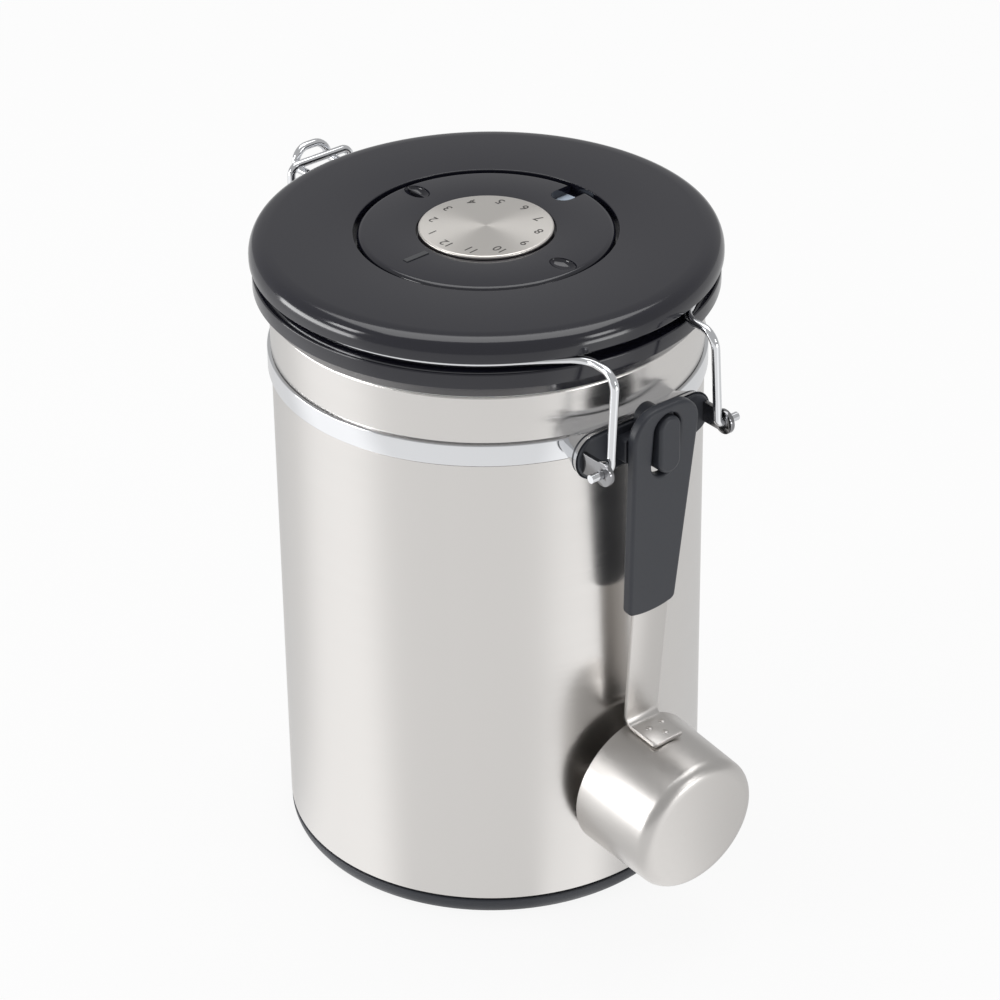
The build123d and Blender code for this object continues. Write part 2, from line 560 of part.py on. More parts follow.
save(rear_tray, "rear_bracket")
save(rear_plate, "rear_hinge_plate")
save(rear_block, "rear_hinge_block")
save(rear_rivets, "rear_rivets")
save(front_tray, "front_bracket")
save(front_plate, "front_hinge_plate")
save(front_block, "front_hinge_block")
save(front_rivets, "front_rivets")

# The bail's half at +X: pin, leg, shoulder, groove and half of the hook. Its mirror image is the rest.
groove_start = math.acos(GROOVE_ENTRY_X / GROOVE_WIRE_RADIUS)
groove_entry = (
    GROOVE_WIRE_RADIUS * math.cos(groove_start),
    GROOVE_WIRE_RADIUS * math.sin(groove_start),
    GROOVE_WIRE_Z,
)
# The straight from the shoulder turns on to the tangent of the groove's circle at the entry.
entry_run = (GROOVE_ENTRY_X - BAIL_SHOULDER_X) / math.sin(groove_start)
bail_turn_n = groove_entry[1] + entry_run * math.cos(groove_start)
leave_angle = -math.acos(HOOK_LEAVE_X / GROOVE_WIRE_RADIUS)
hook_exit = (
    GROOVE_WIRE_RADIUS * math.cos(leave_angle),
    GROOVE_WIRE_RADIUS * math.sin(leave_angle),
    GROOVE_WIRE_Z,
)
# The straight on from the groove runs along its tangent until it is in line with the hook's leg.
tangent_run = (HOOK_LEAVE_X - HOOK_HALF_WIDTH) / -math.sin(leave_angle)
hook_turn = (
    HOOK_HALF_WIDTH,
    hook_exit[1] - tangent_run * math.cos(leave_angle),
    GROOVE_WIRE_Z,
)
with BuildPart() as bail_wire:
    with BuildLine() as bail_path:
        FilletPolyline(
            (BAIL_PIN_END_X, PIVOT_N, PIVOT_Z),
            (BAIL_KNEE_X, PIVOT_N, PIVOT_Z),
            (BAIL_SHOULDER_X, PIVOT_N, GROOVE_WIRE_Z),
            (BAIL_SHOULDER_X, bail_turn_n, GROOVE_WIRE_Z),
            groove_entry,
            radius=(BAIL_KNEE_RADIUS, BAIL_SHOULDER_RADIUS, BAIL_TURN_RADIUS),
        )
        CenterArc(
            (0, 0, GROOVE_WIRE_Z),
            GROOVE_WIRE_RADIUS,
            math.degrees(groove_start),
            math.degrees(leave_angle - groove_start),
        )
        FilletPolyline(
            hook_exit,
            hook_turn,
            (HOOK_HALF_WIDTH, -HOOK_BEND_N, HOOK_BEND_Z),
            (HOOK_TOP_HALF_WIDTH, -HOOK_TOP_N, HOOK_TOP_Z),
            (0, -HOOK_TOP_N, HOOK_TOP_Z),
            radius=(HOOK_SIDE_RADIUS, HOOK_BEND_RADIUS, HOOK_CORNER_RADIUS),
        )
    with BuildSketch(Plane(origin=(BAIL_PIN_END_X, PIVOT_N, PIVOT_Z), z_dir=(-1, 0, 0))):
        Circle(WIRE_RADIUS)
    sweep(path=bail_path.wire())
    mirror(about=Plane.YZ)
save(bail_wire.part, "bail_wire")

# The link's half at +X: half of the top bar, the leg and the eye round the lever's crank.
eye_radius = LEVER_WIRE_RADIUS + EYE_CLEARANCE + WIRE_RADIUS
eye_plane = Plane(origin=(LINK_EYE_X, -CRANK_N, CRANK_Z), x_dir=(0, -1, 0), z_dir=(-1, 0, 0))
with BuildPart() as clamp_link:
    with BuildLine() as link_path:
        FilletPolyline(
            (0, -LINK_BAR_N, LINK_BAR_Z),
            (LINK_BAR_HALF_WIDTH, -LINK_BAR_N, LINK_BAR_Z),
            (LINK_EYE_X, -CRANK_N - eye_radius, LINK_STRAIGHT_Z),
            (LINK_EYE_X, -CRANK_N - eye_radius, CRANK_Z),
            radius=(LINK_CORNER_RADIUS, LINK_STRAIGHT_RADIUS),
        )
        ThreePointArc(
            (LINK_EYE_X, -CRANK_N - eye_radius, CRANK_Z),
            (LINK_EYE_X, -CRANK_N, CRANK_Z - eye_radius),
            (
                LINK_EYE_X,
                -CRANK_N - eye_radius * math.cos(math.radians(LINK_EYE_SWEEP_DEG)),
                CRANK_Z - eye_radius * math.sin(math.radians(LINK_EYE_SWEEP_DEG)),
            ),
        )
    with BuildSketch(Plane(origin=(0, -LINK_BAR_N, LINK_BAR_Z), z_dir=(1, 0, 0))):
        Circle(WIRE_RADIUS)
    sweep(path=link_path.wire())
    mirror(about=Plane.YZ)
save(clamp_link.part, "clamp_link")

with BuildPart() as clamp_lever:
    with BuildLine() as lever_path:
        FilletPolyline(
            (LEVER_PIN_END_X, -PIVOT_N, PIVOT_Z),
            (LEVER_ARM_X, -PIVOT_N, PIVOT_Z),
            (LEVER_ARM_X, -CRANK_N, CRANK_Z),
            (LEVER_HANDLE_X, -CRANK_N, CRANK_Z),
            (LEVER_HANDLE_X, -LEVER_HANDLE_N, LEVER_HANDLE_Z),
            (LEVER_HANDLE_X, -LEVER_TIP_N, LEVER_TIP_Z),
            (0, -LEVER_TIP_N, LEVER_TIP_Z),
            radius=(
                LEVER_KNEE_RADIUS,
                LEVER_KNEE_RADIUS,
                LEVER_KNEE_RADIUS,
                LEVER_HANDLE_RADIUS,
                LEVER_TIP_RADIUS,
            ),
        )
    with BuildSketch(Plane(origin=(LEVER_PIN_END_X, -PIVOT_N, PIVOT_Z), z_dir=(-1, 0, 0))):
        Circle(LEVER_WIRE_RADIUS)
    sweep(path=lever_path.wire())
    mirror(about=Plane.YZ)
save(clamp_lever.part, "clamp_lever")

with BuildPart() as lid_cover:
    with BuildSketch(Plane.XZ):
        with BuildLine():
            Polyline(
                (STEM_HOLE_RADIUS, RECESS_FLOOR_TOP_Z),
                (STEM_HOLE_RADIUS, RECESS_FLOOR_BOTTOM_Z),
                (RECESS_RADIUS + RECESS_WALL, RECESS_FLOOR_BOTTOM_Z),
                (RECESS_RADIUS + RECESS_WALL, LID_COVER_ROOF_Z),
                (GROOVE_FLOOR_RADIUS - GROOVE_WALL, LID_COVER_ROOF_Z),
                (GROOVE_FLOOR_RADIUS - GROOVE_WALL, LID_COVER_SEAT_Z),
                (GROOVE_FLOOR_RADIUS, LID_COVER_SEAT_Z),
                (GROOVE_FLOOR_RADIUS, LID_COVER_BOTTOM_Z),
                (LID_WIDEST_RADIUS - LID_BOTTOM_BEVEL, LID_COVER_BOTTOM_Z),
                (LID_WIDEST_RADIUS, LID_COVER_BOTTOM_Z + LID_BOTTOM_BEVEL),
                (LID_WIDEST_RADIUS, LID_BEVEL_END_Z),
            )
            ThreePointArc(
                (LID_WIDEST_RADIUS, LID_BEVEL_END_Z),
                (LID_BEVEL_MIDDLE_RADIUS, LID_BEVEL_MIDDLE_Z),
                (LID_BEVEL_START_RADIUS, LID_TOP_Z),
            )
            Polyline(
                (LID_BEVEL_START_RADIUS, LID_TOP_Z),
                (RECESS_RADIUS, LID_TOP_Z),
                (RECESS_RADIUS, RECESS_FLOOR_TOP_Z),
                (STEM_HOLE_RADIUS, RECESS_FLOOR_TOP_Z),
            )
        make_face()
    revolve(axis=Axis.Z)
    with BuildSketch(Plane.XY.offset(LID_PLATE_TOP_Z)):
        with PolarLocations(SCREW_RING_RADIUS, SCREW_COUNT):
            Circle(SCREW_BOSS_RADIUS)
    extrude(amount=LID_COVER_ROOF_Z - LID_PLATE_TOP_Z)
    with BuildSketch(Plane.XY.offset(LID_PLATE_TOP_Z)):
        with PolarLocations(SCREW_RING_RADIUS, SCREW_COUNT):
            Circle(SCREW_SHANK_RADIUS)
    extrude(amount=SCREW_DEPTH, mode=Mode.SUBTRACT)
save(lid_cover.part, "lid_cover")

with BuildPart() as lid_base:
    with BuildSketch(Plane.XZ):
        with BuildLine():
            Polyline(
                (VALVE_BARREL_RADIUS, LID_PLATE_TOP_Z),
                (VALVE_BARREL_RADIUS, LID_PLATE_BOTTOM_Z),
                (PLUG_TOP_RADIUS - PLUG_WALL, LID_PLATE_BOTTOM_Z),
                (PLUG_BOTTOM_RADIUS - PLUG_WALL, PLUG_BOTTOM_Z),
                (PLUG_BOTTOM_RADIUS, PLUG_BOTTOM_Z),
                (PLUG_TOP_RADIUS, LIP_BOTTOM_Z),
                (GASKET_INNER_RADIUS, LIP_BOTTOM_Z),
                (GASKET_INNER_RADIUS, GASKET_TOP_Z),
                (GASKET_OUTER_RADIUS, GASKET_TOP_Z),
                (GASKET_OUTER_RADIUS, LIP_BOTTOM_Z),
                (LIP_RADIUS, LIP_BOTTOM_Z),
                (FLANGE_CREASE_RADIUS, FLANGE_BOTTOM_Z),
                (FLANGE_RADIUS, FLANGE_BOTTOM_Z),
                (FLANGE_RADIUS, FLANGE_TOP_Z - FLANGE_TOP_EDGE),
                (FLANGE_RADIUS - FLANGE_TOP_EDGE, FLANGE_TOP_Z),
                (GROOVE_FLOOR_RADIUS, FLANGE_TOP_Z),
                (GROOVE_FLOOR_RADIUS, LID_COVER_SEAT_Z),
                (GROOVE_FLOOR_RADIUS - GROOVE_WALL, LID_COVER_SEAT_Z),
                (GROOVE_FLOOR_RADIUS - GROOVE_WALL, LID_PLATE_TOP_Z),
                close=True,
            )
        make_face()
    revolve(axis=Axis.Z)
    with BuildSketch(Plane.XY.offset(LID_PLATE_BOTTOM_Z)):
        with PolarLocations(SCREW_RING_RADIUS, SCREW_COUNT):
            Circle(SCREW_SHANK_RADIUS)
    extrude(amount=LID_PLATE_TOP_Z - LID_PLATE_BOTTOM_Z, mode=Mode.SUBTRACT)
    plug_tip = lid_base.faces().filter_by(Axis.Z).sort_by(Axis.Z)[0]
    fillet(plug_tip.edges(), PLUG_EDGE_RADIUS)
save(lid_base.part, "lid_base")

with BuildPart() as lid_screws:
    with BuildSketch(Plane.XY.offset(LID_PLATE_BOTTOM_Z - SCREW_HEAD_HEIGHT)):
        with PolarLocations(SCREW_RING_RADIUS, SCREW_COUNT):
            Circle(SCREW_HEAD_RADIUS)
    extrude(amount=SCREW_HEAD_HEIGHT)
    with BuildSketch(Plane.XY.offset(LID_PLATE_BOTTOM_Z)):
        with PolarLocations(SCREW_RING_RADIUS, SCREW_COUNT):
            Circle(SCREW_SHANK_RADIUS)
    extrude(amount=LID_PLATE_TOP_Z - LID_PLATE_BOTTOM_Z + SCREW_DEPTH)
save(lid_screws.part, "lid_screws")

with BuildPart() as lid_gasket:
    with BuildSketch(Plane.XY.offset(GASKET_BOTTOM_Z)):
        Circle(GASKET_OUTER_RADIUS)
        Circle(GASKET_INNER_RADIUS, mode=Mode.SUBTRACT)
    extrude(amount=GASKET_TOP_Z - GASKET_BOTTOM_Z)
save(lid_gasket.part, "lid_gasket")

with BuildPart() as date_disc:
    with BuildSketch(Plane.XY.offset(RECESS_FLOOR_TOP_Z)):
        Circle(DISC_OUTER_RADIUS)
        Circle(DISC_INNER_RADIUS, mode=Mode.SUBTRACT)
    extrude(amount=DISC_THICKNESS)
save(date_disc.part, "date_disc")

with BuildPart() as date_ring:
    with BuildSketch(Plane.XY.offset(RING_BOTTOM_Z)):
        Circle(RING_OUTER_RADIUS)
        Circle(RING_LEDGE_RADIUS, mode=Mode.SUBTRACT)
    extrude(amount=RING_TOP_Z - RING_BOTTOM_Z)
    with BuildSketch(Plane.XY.offset(RING_LEDGE_TOP_Z)):
        Circle(RING_BORE_RADIUS)
    extrude(amount=RING_TOP_Z - RING_LEDGE_TOP_Z, mode=Mode.SUBTRACT)
    fillet(date_ring.faces().sort_by(Axis.Z)[-1].edges(), RING_EDGE_RADIUS)
    # The window is open to the ring's outer edge and round at its inner end.
    with BuildSketch(Plane.XY.offset(RING_BOTTOM_Z)):
        with PolarLocations(RING_OUTER_RADIUS, 1, start_angle=WINDOW_DEG):
            SlotOverall(2 * WINDOW_LENGTH, WINDOW_WIDTH)
    extrude(amount=RING_TOP_Z - RING_BOTTOM_Z, mode=Mode.SUBTRACT)
    for dimple_deg in DIMPLE_DEGS:
        with BuildSketch(Plane.XY.offset(RING_TOP_Z - DIMPLE_DEPTH)):
            with PolarLocations(DIMPLE_RADIUS, 1, start_angle=dimple_deg):
                SlotOverall(DIMPLE_LENGTH, DIMPLE_WIDTH)
        extrude(amount=DIMPLE_DEPTH, mode=Mode.SUBTRACT)
        # A thin rib runs along each dimple. It ends a little below the ring's top.
        with BuildSketch(Plane.XY.offset(RING_TOP_Z - DIMPLE_DEPTH)):
            with PolarLocations(DIMPLE_RADIUS, 1, start_angle=dimple_deg):
                Rectangle(DIMPLE_LENGTH, DIMPLE_RIB_WIDTH)
        extrude(amount=DIMPLE_DEPTH - DIMPLE_RIB_INSET)
    with BuildSketch(Plane.XY.offset(RING_TOP_Z)):
        pointer_middle = POINTER_INNER_RADIUS + POINTER_LENGTH / 2
        with PolarLocations(pointer_middle, 1, start_angle=POINTER_DEG):
            Rectangle(POINTER_LENGTH, POINTER_WIDTH)
    extrude(amount=POINTER_HEIGHT)
save(date_ring.part, "date_ring")

with BuildPart() as dial:
    with BuildSketch(Plane.XY.offset(DIAL_BOTTOM_Z)):
        Circle(DIAL_RADIUS)
    extrude(amount=DIAL_TOP_Z - DIAL_BOTTOM_Z)
    fillet(dial.faces().sort_by(Axis.Z)[-1].edges(), DIAL_EDGE_RADIUS)
save(dial.part, "dial")

with BuildPart() as dial_hub:
    with BuildSketch(Plane.XY.offset(HUB_BOTTOM_Z)):
        Circle(HUB_RADIUS)
    extrude(amount=DIAL_BOTTOM_Z - HUB_BOTTOM_Z)
    with BuildSketch(Plane.XY.offset(STEM_BOTTOM_Z)):
        Circle(STEM_RADIUS)
    extrude(amount=HUB_BOTTOM_Z - STEM_BOTTOM_Z)
    with BuildSketch(Plane.XY.offset(CLIP_TOP_Z - CLIP_THICKNESS)):
        Circle(STEM_RADIUS)
        Circle(CLIP_GROOVE_RADIUS, mode=Mode.SUBTRACT)
    extrude(amount=CLIP_THICKNESS, mode=Mode.SUBTRACT)
save(dial_hub.part, "dial_hub")

with BuildPart() as dial_clip:
    with BuildSketch(Plane.XY.offset(CLIP_TOP_Z - CLIP_THICKNESS)):
        Circle(CLIP_RADIUS)
        Circle(CLIP_GROOVE_RADIUS, mode=Mode.SUBTRACT)
        with Locations((0, -CLIP_RADIUS)):
            Rectangle(2 * CLIP_GROOVE_RADIUS, 2 * CLIP_RADIUS, mode=Mode.SUBTRACT)
    extrude(amount=CLIP_THICKNESS)
save(dial_clip.part, "dial_clip")

with BuildPart() as valve_body:
    with BuildSketch(Plane.XY.offset(VALVE_FLANGE_BOTTOM_Z)):
        Circle(VALVE_FLANGE_RADIUS)
        Circle(VALVE_BARREL_BORE, mode=Mode.SUBTRACT)
    extrude(amount=LID_PLATE_BOTTOM_Z - VALVE_FLANGE_BOTTOM_Z)
    with BuildSketch(Plane.XY.offset(LID_PLATE_BOTTOM_Z)):
        Circle(VALVE_BARREL_RADIUS)
        Circle(VALVE_BARREL_BORE, mode=Mode.SUBTRACT)
    extrude(amount=VALVE_BARREL_TOP_Z - LID_PLATE_BOTTOM_Z)
    with BuildSketch(Plane.XY.offset(VALVE_SEAT_BOTTOM_Z)):
        Circle(VALVE_BARREL_BORE)
        with PolarLocations(VALVE_HOLE_RING_RADIUS, VALVE_HOLE_COUNT):
            Circle(VALVE_HOLE_RADIUS, mode=Mode.SUBTRACT)
    extrude(amount=VALVE_SEAT_TOP_Z - VALVE_SEAT_BOTTOM_Z)
save(valve_body.part, "valve_body")

with BuildPart() as valve_flap:
    with BuildSketch(Plane.XY.offset(FLAP_BOTTOM_Z)):
        Circle(FLAP_RADIUS)
    extrude(amount=FLAP_THICKNESS)
save(valve_flap.part, "valve_flap")

with BuildPart() as valve_cap:
    with BuildSketch(Plane.XY.offset(LID_PLATE_TOP_Z)):
        Circle(VALVE_CAP_RADIUS)
        Circle(VALVE_BARREL_RADIUS, mode=Mode.SUBTRACT)
    extrude(amount=VALVE_BARREL_TOP_Z - LID_PLATE_TOP_Z)
    with BuildSketch(Plane.XY.offset(VALVE_BARREL_TOP_Z)):
        Circle(VALVE_CAP_RADIUS)
        with PolarLocations(VALVE_HOLE_RING_RADIUS, VALVE_HOLE_COUNT):
            Circle(VALVE_HOLE_RADIUS, mode=Mode.SUBTRACT)
    extrude(amount=VALVE_CAP_TOP_Z - VALVE_BARREL_TOP_Z)
save(valve_cap.part, "valve_cap")

with BuildPart() as valve_filter:
    with BuildSketch(Plane.XY.offset(VALVE_SEAT_BOTTOM_Z - FILTER_THICKNESS)):
        Circle(VALVE_BARREL_BORE)
    extrude(amount=FILTER_THICKNESS)
save(valve_filter.part, "valve_filter")

# In the scoop's frame local Y runs up along the handle and local Z out from the cup's mouth.
scoop_out = (0, math.cos(SCOOP_LEAN), -math.sin(SCOOP_LEAN))
scoop_mouth = Plane(origin=(0, SCOOP_RIM_N, SCOOP_RIM_Z), x_dir=(-1, 0, 0), z_dir=scoop_out)
# The section plane holds the cup's axis: its X runs out and its Y up.
scoop_section = Plane(origin=(0, SCOOP_RIM_N, SCOOP_RIM_Z), x_dir=scoop_out, z_dir=(1, 0, 0))
scoop_axis = Axis((0, SCOOP_RIM_N, SCOOP_RIM_Z), scoop_out)

with BuildPart() as scoop_cup:
    with BuildSketch(scoop_section):
        with BuildLine():
            Polyline(
                (0, 0),
                (0, CUP_RIM_RADIUS),
                (CUP_DEPTH, CUP_FLOOR_RADIUS),
                (CUP_DEPTH, 0),
                close=True,
            )
        make_face()
    revolve(axis=scoop_axis)
    cup_floor = scoop_cup.faces().sort_by(Axis.Y)[-1]
    fillet(cup_floor.edges(), CUP_CORNER_RADIUS)
    cup_solid = scoop_cup.part
    cup_mouth = scoop_cup.faces().sort_by(Axis.Y)[0]
    offset(amount=-CUP_WALL, openings=cup_mouth)
save(scoop_cup.part, "scoop_cup")

with BuildPart() as scoop_strap:
    strap_outer = STRAP_BACK + STRAP_THICKNESS
    outer_bend_radius = STRAP_BEND_RADIUS + STRAP_THICKNESS
    heel_out = strap_outer + outer_bend_radius
    strap_low = CUP_FLOOR_RADIUS - STRAP_THICKNESS
    with BuildSketch(scoop_section):
        with BuildLine():
            Polyline(
                (heel_out, strap_low),
                (heel_out, CUP_RIM_RADIUS),
                (STRAP_BACK, CUP_RIM_RADIUS),
                (STRAP_BACK, STRAP_TOP_UP),
                (strap_outer, STRAP_TOP_UP),
                (strap_outer, STRAP_SHELF_UP),
                (STRAP_FLANGE_LENGTH, STRAP_SHELF_UP),
                (STRAP_FLANGE_LENGTH, strap_low),
                close=True,
            )
        make_face()
        outer_bend = vertices().sort_by_distance((STRAP_BACK, CUP_RIM_RADIUS, 0))[0]
        fillet(outer_bend, outer_bend_radius)
        inner_bend = vertices().sort_by_distance((strap_outer, STRAP_SHELF_UP, 0))[0]
        fillet(inner_bend, STRAP_BEND_RADIUS)
    extrude(amount=STRAP_TOP_WIDTH, both=True)
    # The strap narrows downwards to its bend. The flange on the cup has cut corners.
    with BuildSketch(scoop_mouth):
        with BuildLine():
            Polyline(
                (-STRAP_BOTTOM_WIDTH / 2, 0),
                (-STRAP_BOTTOM_WIDTH / 2, STRAP_SHELF_UP),
                (-STRAP_TOP_WIDTH / 2, STRAP_TOP_UP),
                (STRAP_TOP_WIDTH / 2, STRAP_TOP_UP),
                (STRAP_BOTTOM_WIDTH / 2, STRAP_SHELF_UP),
                (STRAP_BOTTOM_WIDTH / 2, 0),
                close=True,
            )
        make_face()
    extrude(amount=STRAP_FLANGE_LENGTH, mode=Mode.INTERSECT)
    shelf_plane = Plane(
        origin=scoop_section.from_local_coords((0, 0, 0)), x_dir=(1, 0, 0), z_dir=scoop_mouth.y_dir
    )
    with BuildSketch(shelf_plane):
        with BuildLine():
            Polyline(
                (-STRAP_TOP_WIDTH / 2, 0),
                (-STRAP_TOP_WIDTH / 2, strap_outer),
                (-STRAP_BOTTOM_WIDTH / 2, strap_outer),
                (-STRAP_BOTTOM_WIDTH / 2, STRAP_FLANGE_LENGTH - STRAP_TIP_CORNER),
                (STRAP_TIP_CORNER - STRAP_BOTTOM_WIDTH / 2, STRAP_FLANGE_LENGTH),
                (STRAP_BOTTOM_WIDTH / 2 - STRAP_TIP_CORNER, STRAP_FLANGE_LENGTH),
                (STRAP_BOTTOM_WIDTH / 2, STRAP_FLANGE_LENGTH - STRAP_TIP_CORNER),
                (STRAP_BOTTOM_WIDTH / 2, strap_outer),
                (STRAP_TOP_WIDTH / 2, strap_outer),
                (STRAP_TOP_WIDTH / 2, 0),
                close=True,
            )
        make_face()
    extrude(amount=STRAP_TOP_UP, mode=Mode.INTERSECT)
    add(cup_solid, mode=Mode.SUBTRACT)
    with BuildSketch(shelf_plane.offset(STRAP_SHELF_UP)):
        with Locations(*WELD_SPOTS):
            Circle(WELD_RADIUS)
    extrude(amount=WELD_HEIGHT, taper=WELD_TAPER_DEG)
save(scoop_strap.part, "scoop_strap")

with BuildPart() as scoop_grip:
    with BuildSketch(scoop_mouth.offset(GRIP_BACK)):
        with BuildLine():
            head_up = GRIP_TOP_UP - GRIP_HEAD_CROWN
            ThreePointArc(
                (-GRIP_HEAD_HALF_WIDTH, head_up),
                (0, GRIP_TOP_UP),
                (GRIP_HEAD_HALF_WIDTH, head_up),
            )
            Line((GRIP_HEAD_HALF_WIDTH, head_up), (GRIP_BOTTOM_HALF_WIDTH, GRIP_BOTTOM_UP))
            ThreePointArc(
                (GRIP_BOTTOM_HALF_WIDTH, GRIP_BOTTOM_UP),
                (0, GRIP_BOTTOM_UP - GRIP_BOTTOM_SAG),
                (-GRIP_BOTTOM_HALF_WIDTH, GRIP_BOTTOM_UP),
            )
            Line((-GRIP_BOTTOM_HALF_WIDTH, GRIP_BOTTOM_UP), (-GRIP_HEAD_HALF_WIDTH, head_up))
        make_face()
        fillet(vertices().sort_by(Axis.Y)[0:2], GRIP_CORNER_RADIUS)
        fillet(vertices().sort_by(Axis.Y)[-2:], GRIP_HEAD_CORNER_RADIUS)
    extrude(amount=GRIP_THICKNESS)
    grip_faces = scoop_grip.faces().sort_by(Axis(scoop_mouth.origin, scoop_out))
    fillet(grip_faces[0].edges() + grip_faces[-1].edges(), GRIP_EDGE_RADIUS)
    with BuildSketch(scoop_mouth.offset(GRIP_BACK)):
        with Locations((0, (SLOT_TOP_UP + SLOT_BOTTOM_UP) / 2)):
            SlotOverall(SLOT_TOP_UP - SLOT_BOTTOM_UP, SLOT_WIDTH, rotation=ACROSS_DEG)
    extrude(amount=GRIP_THICKNESS, mode=Mode.SUBTRACT)
    add(scoop_strap.part, mode=Mode.SUBTRACT)
save(scoop_grip.part, "scoop_grip")
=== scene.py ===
# %% [markdown]
# # A coffee canister with a valve in its lid
# The canister is a drawn steel can with a moulded lid. One bent wire carries the lid: it is
# hinged at the rear and ends in a hook at the front, where a lever pulls it shut. A scoop hangs
# on a peg at the rear. The CAD model gives every place and size. This file gives the looks: it
# builds the visible pieces again as clean meshes with rounded edges, and gives each one a finish
# made of nodes. Lengths are written in millimetres, as a maker would say them, and made metres
# when a piece is done.

import math

import bmesh
import bpy
from mathutils import Matrix, Vector


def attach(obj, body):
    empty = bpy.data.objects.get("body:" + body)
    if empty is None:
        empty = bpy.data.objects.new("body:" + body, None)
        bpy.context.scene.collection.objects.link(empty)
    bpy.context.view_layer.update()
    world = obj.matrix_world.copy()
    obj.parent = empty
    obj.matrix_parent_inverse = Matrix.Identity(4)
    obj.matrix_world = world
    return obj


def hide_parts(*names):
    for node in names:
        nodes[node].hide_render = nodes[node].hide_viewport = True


MM = 0.001
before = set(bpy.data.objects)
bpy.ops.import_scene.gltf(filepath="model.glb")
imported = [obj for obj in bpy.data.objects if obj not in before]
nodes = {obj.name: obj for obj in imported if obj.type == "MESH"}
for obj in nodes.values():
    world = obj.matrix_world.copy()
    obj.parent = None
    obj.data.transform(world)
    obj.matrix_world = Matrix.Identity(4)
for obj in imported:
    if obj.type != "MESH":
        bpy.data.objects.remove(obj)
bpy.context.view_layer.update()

# %% [markdown]
# ## Camera
# The photograph was taken with a long lens from the rear right, looking down by about 31 degrees.
# The camera is built from that direction, a distance, and a small slide across the picture, so
# that each of these can be read and changed by itself. The roll is the photographer's slight
# tilt.

# %% Camera
VIEW_TURN = math.radians(141.0)
VIEW_DOWN = math.radians(31.04)
VIEW_ROLL = math.radians(-0.73)
VIEW_DISTANCE = 1066.0
VIEW_TARGET_Z = 95.0
VIEW_SLIDE = (2.75, 5.75)
LENS_MM = 134.75
SENSOR_MM = 36.0
FARTHEST_SEEN_M = 20.0

across = Vector((math.cos(VIEW_TURN), math.sin(VIEW_TURN), 0))
level = Vector((-math.sin(VIEW_TURN), math.cos(VIEW_TURN), 0))
forward = level * math.cos(VIEW_DOWN) - Vector((0, 0, math.sin(VIEW_DOWN)))
upward = level * math.sin(VIEW_DOWN) + Vector((0, 0, math.cos(VIEW_DOWN)))
right = across * math.cos(VIEW_ROLL) + upward * math.sin(VIEW_ROLL)
top = upward * math.cos(VIEW_ROLL) - across * math.sin(VIEW_ROLL)
place = (
    Vector((0, 0, VIEW_TARGET_Z))
    - forward * VIEW_DISTANCE
    + right * VIEW_SLIDE[0]
    + top * VIEW_SLIDE[1]
)

camera_data = bpy.data.cameras.new("camera")
camera_data.lens = LENS_MM
camera_data.sensor_width = SENSOR_MM
camera_data.clip_end = FARTHEST_SEEN_M
camera = bpy.data.objects.new("camera", camera_data)
camera.matrix_world = Matrix(
    (
        (right.x, top.x, -forward.x, place.x * MM),
        (right.y, top.y, -forward.y, place.y * MM),
        (right.z, top.z, -forward.z, place.z * MM),
        (0, 0, 0, 1),
    )
)
bpy.context.scene.collection.objects.link(camera)
bpy.context.scene.camera = camera
bpy.context.scene.view_settings.view_transform = "Standard"
print("camera at", [round(x) for x in place])

# %% [markdown]
# ## Node materials
# Every finish is a Principled shader plus a few texture nodes that read Object coordinates, so
# the pattern has a real size and stays on the piece. The first helper makes the shader with its
# fixed values. The others add what a real surface has: brush lines, a fine grain, and a little
# unevenness.


# %% Material helpers
NOISE_LOW, NOISE_HIGH = 0.3, 0.7  # nearly all of a noise texture lies between these


def new_finish(name, color, metallic, roughness, **sockets):
    material = bpy.data.materials.new(name)
    material.use_nodes = True
    shader = material.node_tree.nodes["Principled BSDF"]
    shader.inputs["Base Color"].default_value = (*color, 1)
    shader.inputs["Metallic"].default_value = metallic
    shader.inputs["Roughness"].default_value = roughness
    for socket, value in sockets.items():
        shader.inputs[socket.replace("_", " ")].default_value = value
    return material


def object_noise(material, scale, detail=3.0):
    """Noise with its own scale along X, Y and Z, in cells per metre."""
    tree = material.node_tree
    coordinates = tree.nodes.new("ShaderNodeTexCoord")
    mapping = tree.nodes.new("ShaderNodeMapping")
    mapping.inputs["Scale"].default_value = scale
    noise = tree.nodes.new("ShaderNodeTexNoise")
    noise.inputs["Scale"].default_value = 1.0
    noise.inputs["Detail"].default_value = detail
    tree.links.new(coordinates.outputs["Object"], mapping.inputs["Vector"])
    tree.links.new(mapping.outputs["Vector"], noise.inputs["Vector"])
    return noise.outputs["Fac"]


def vary(material, value, socket, low, high):
    """Turns a noise value into a range on one of the shader's sockets."""
    tree = material.node_tree
    span = tree.nodes.new("ShaderNodeMapRange")
    span.inputs["From Min"].default_value = NOISE_LOW
    span.inputs["From Max"].default_value = NOISE_HIGH
    span.inputs["To Min"].default_value = low
    span.inputs["To Max"].default_value = high
    tree.links.new(value, span.inputs["Value"])
    tree.links.new(span.outputs["Result"], tree.nodes["Principled BSDF"].inputs[socket])


def tint(material, value, dark, light):
    """Colour between two tones."""
    tree = material.node_tree
    mix = tree.nodes.new("ShaderNodeMix")
    mix.data_type = "RGBA"
    mix.inputs["A"].default_value = (*dark, 1)
    mix.inputs["B"].default_value = (*light, 1)
    tree.links.new(value, mix.inputs["Factor"])
    tree.links.new(mix.outputs["Result"], tree.nodes["Principled BSDF"].inputs["Base Color"])


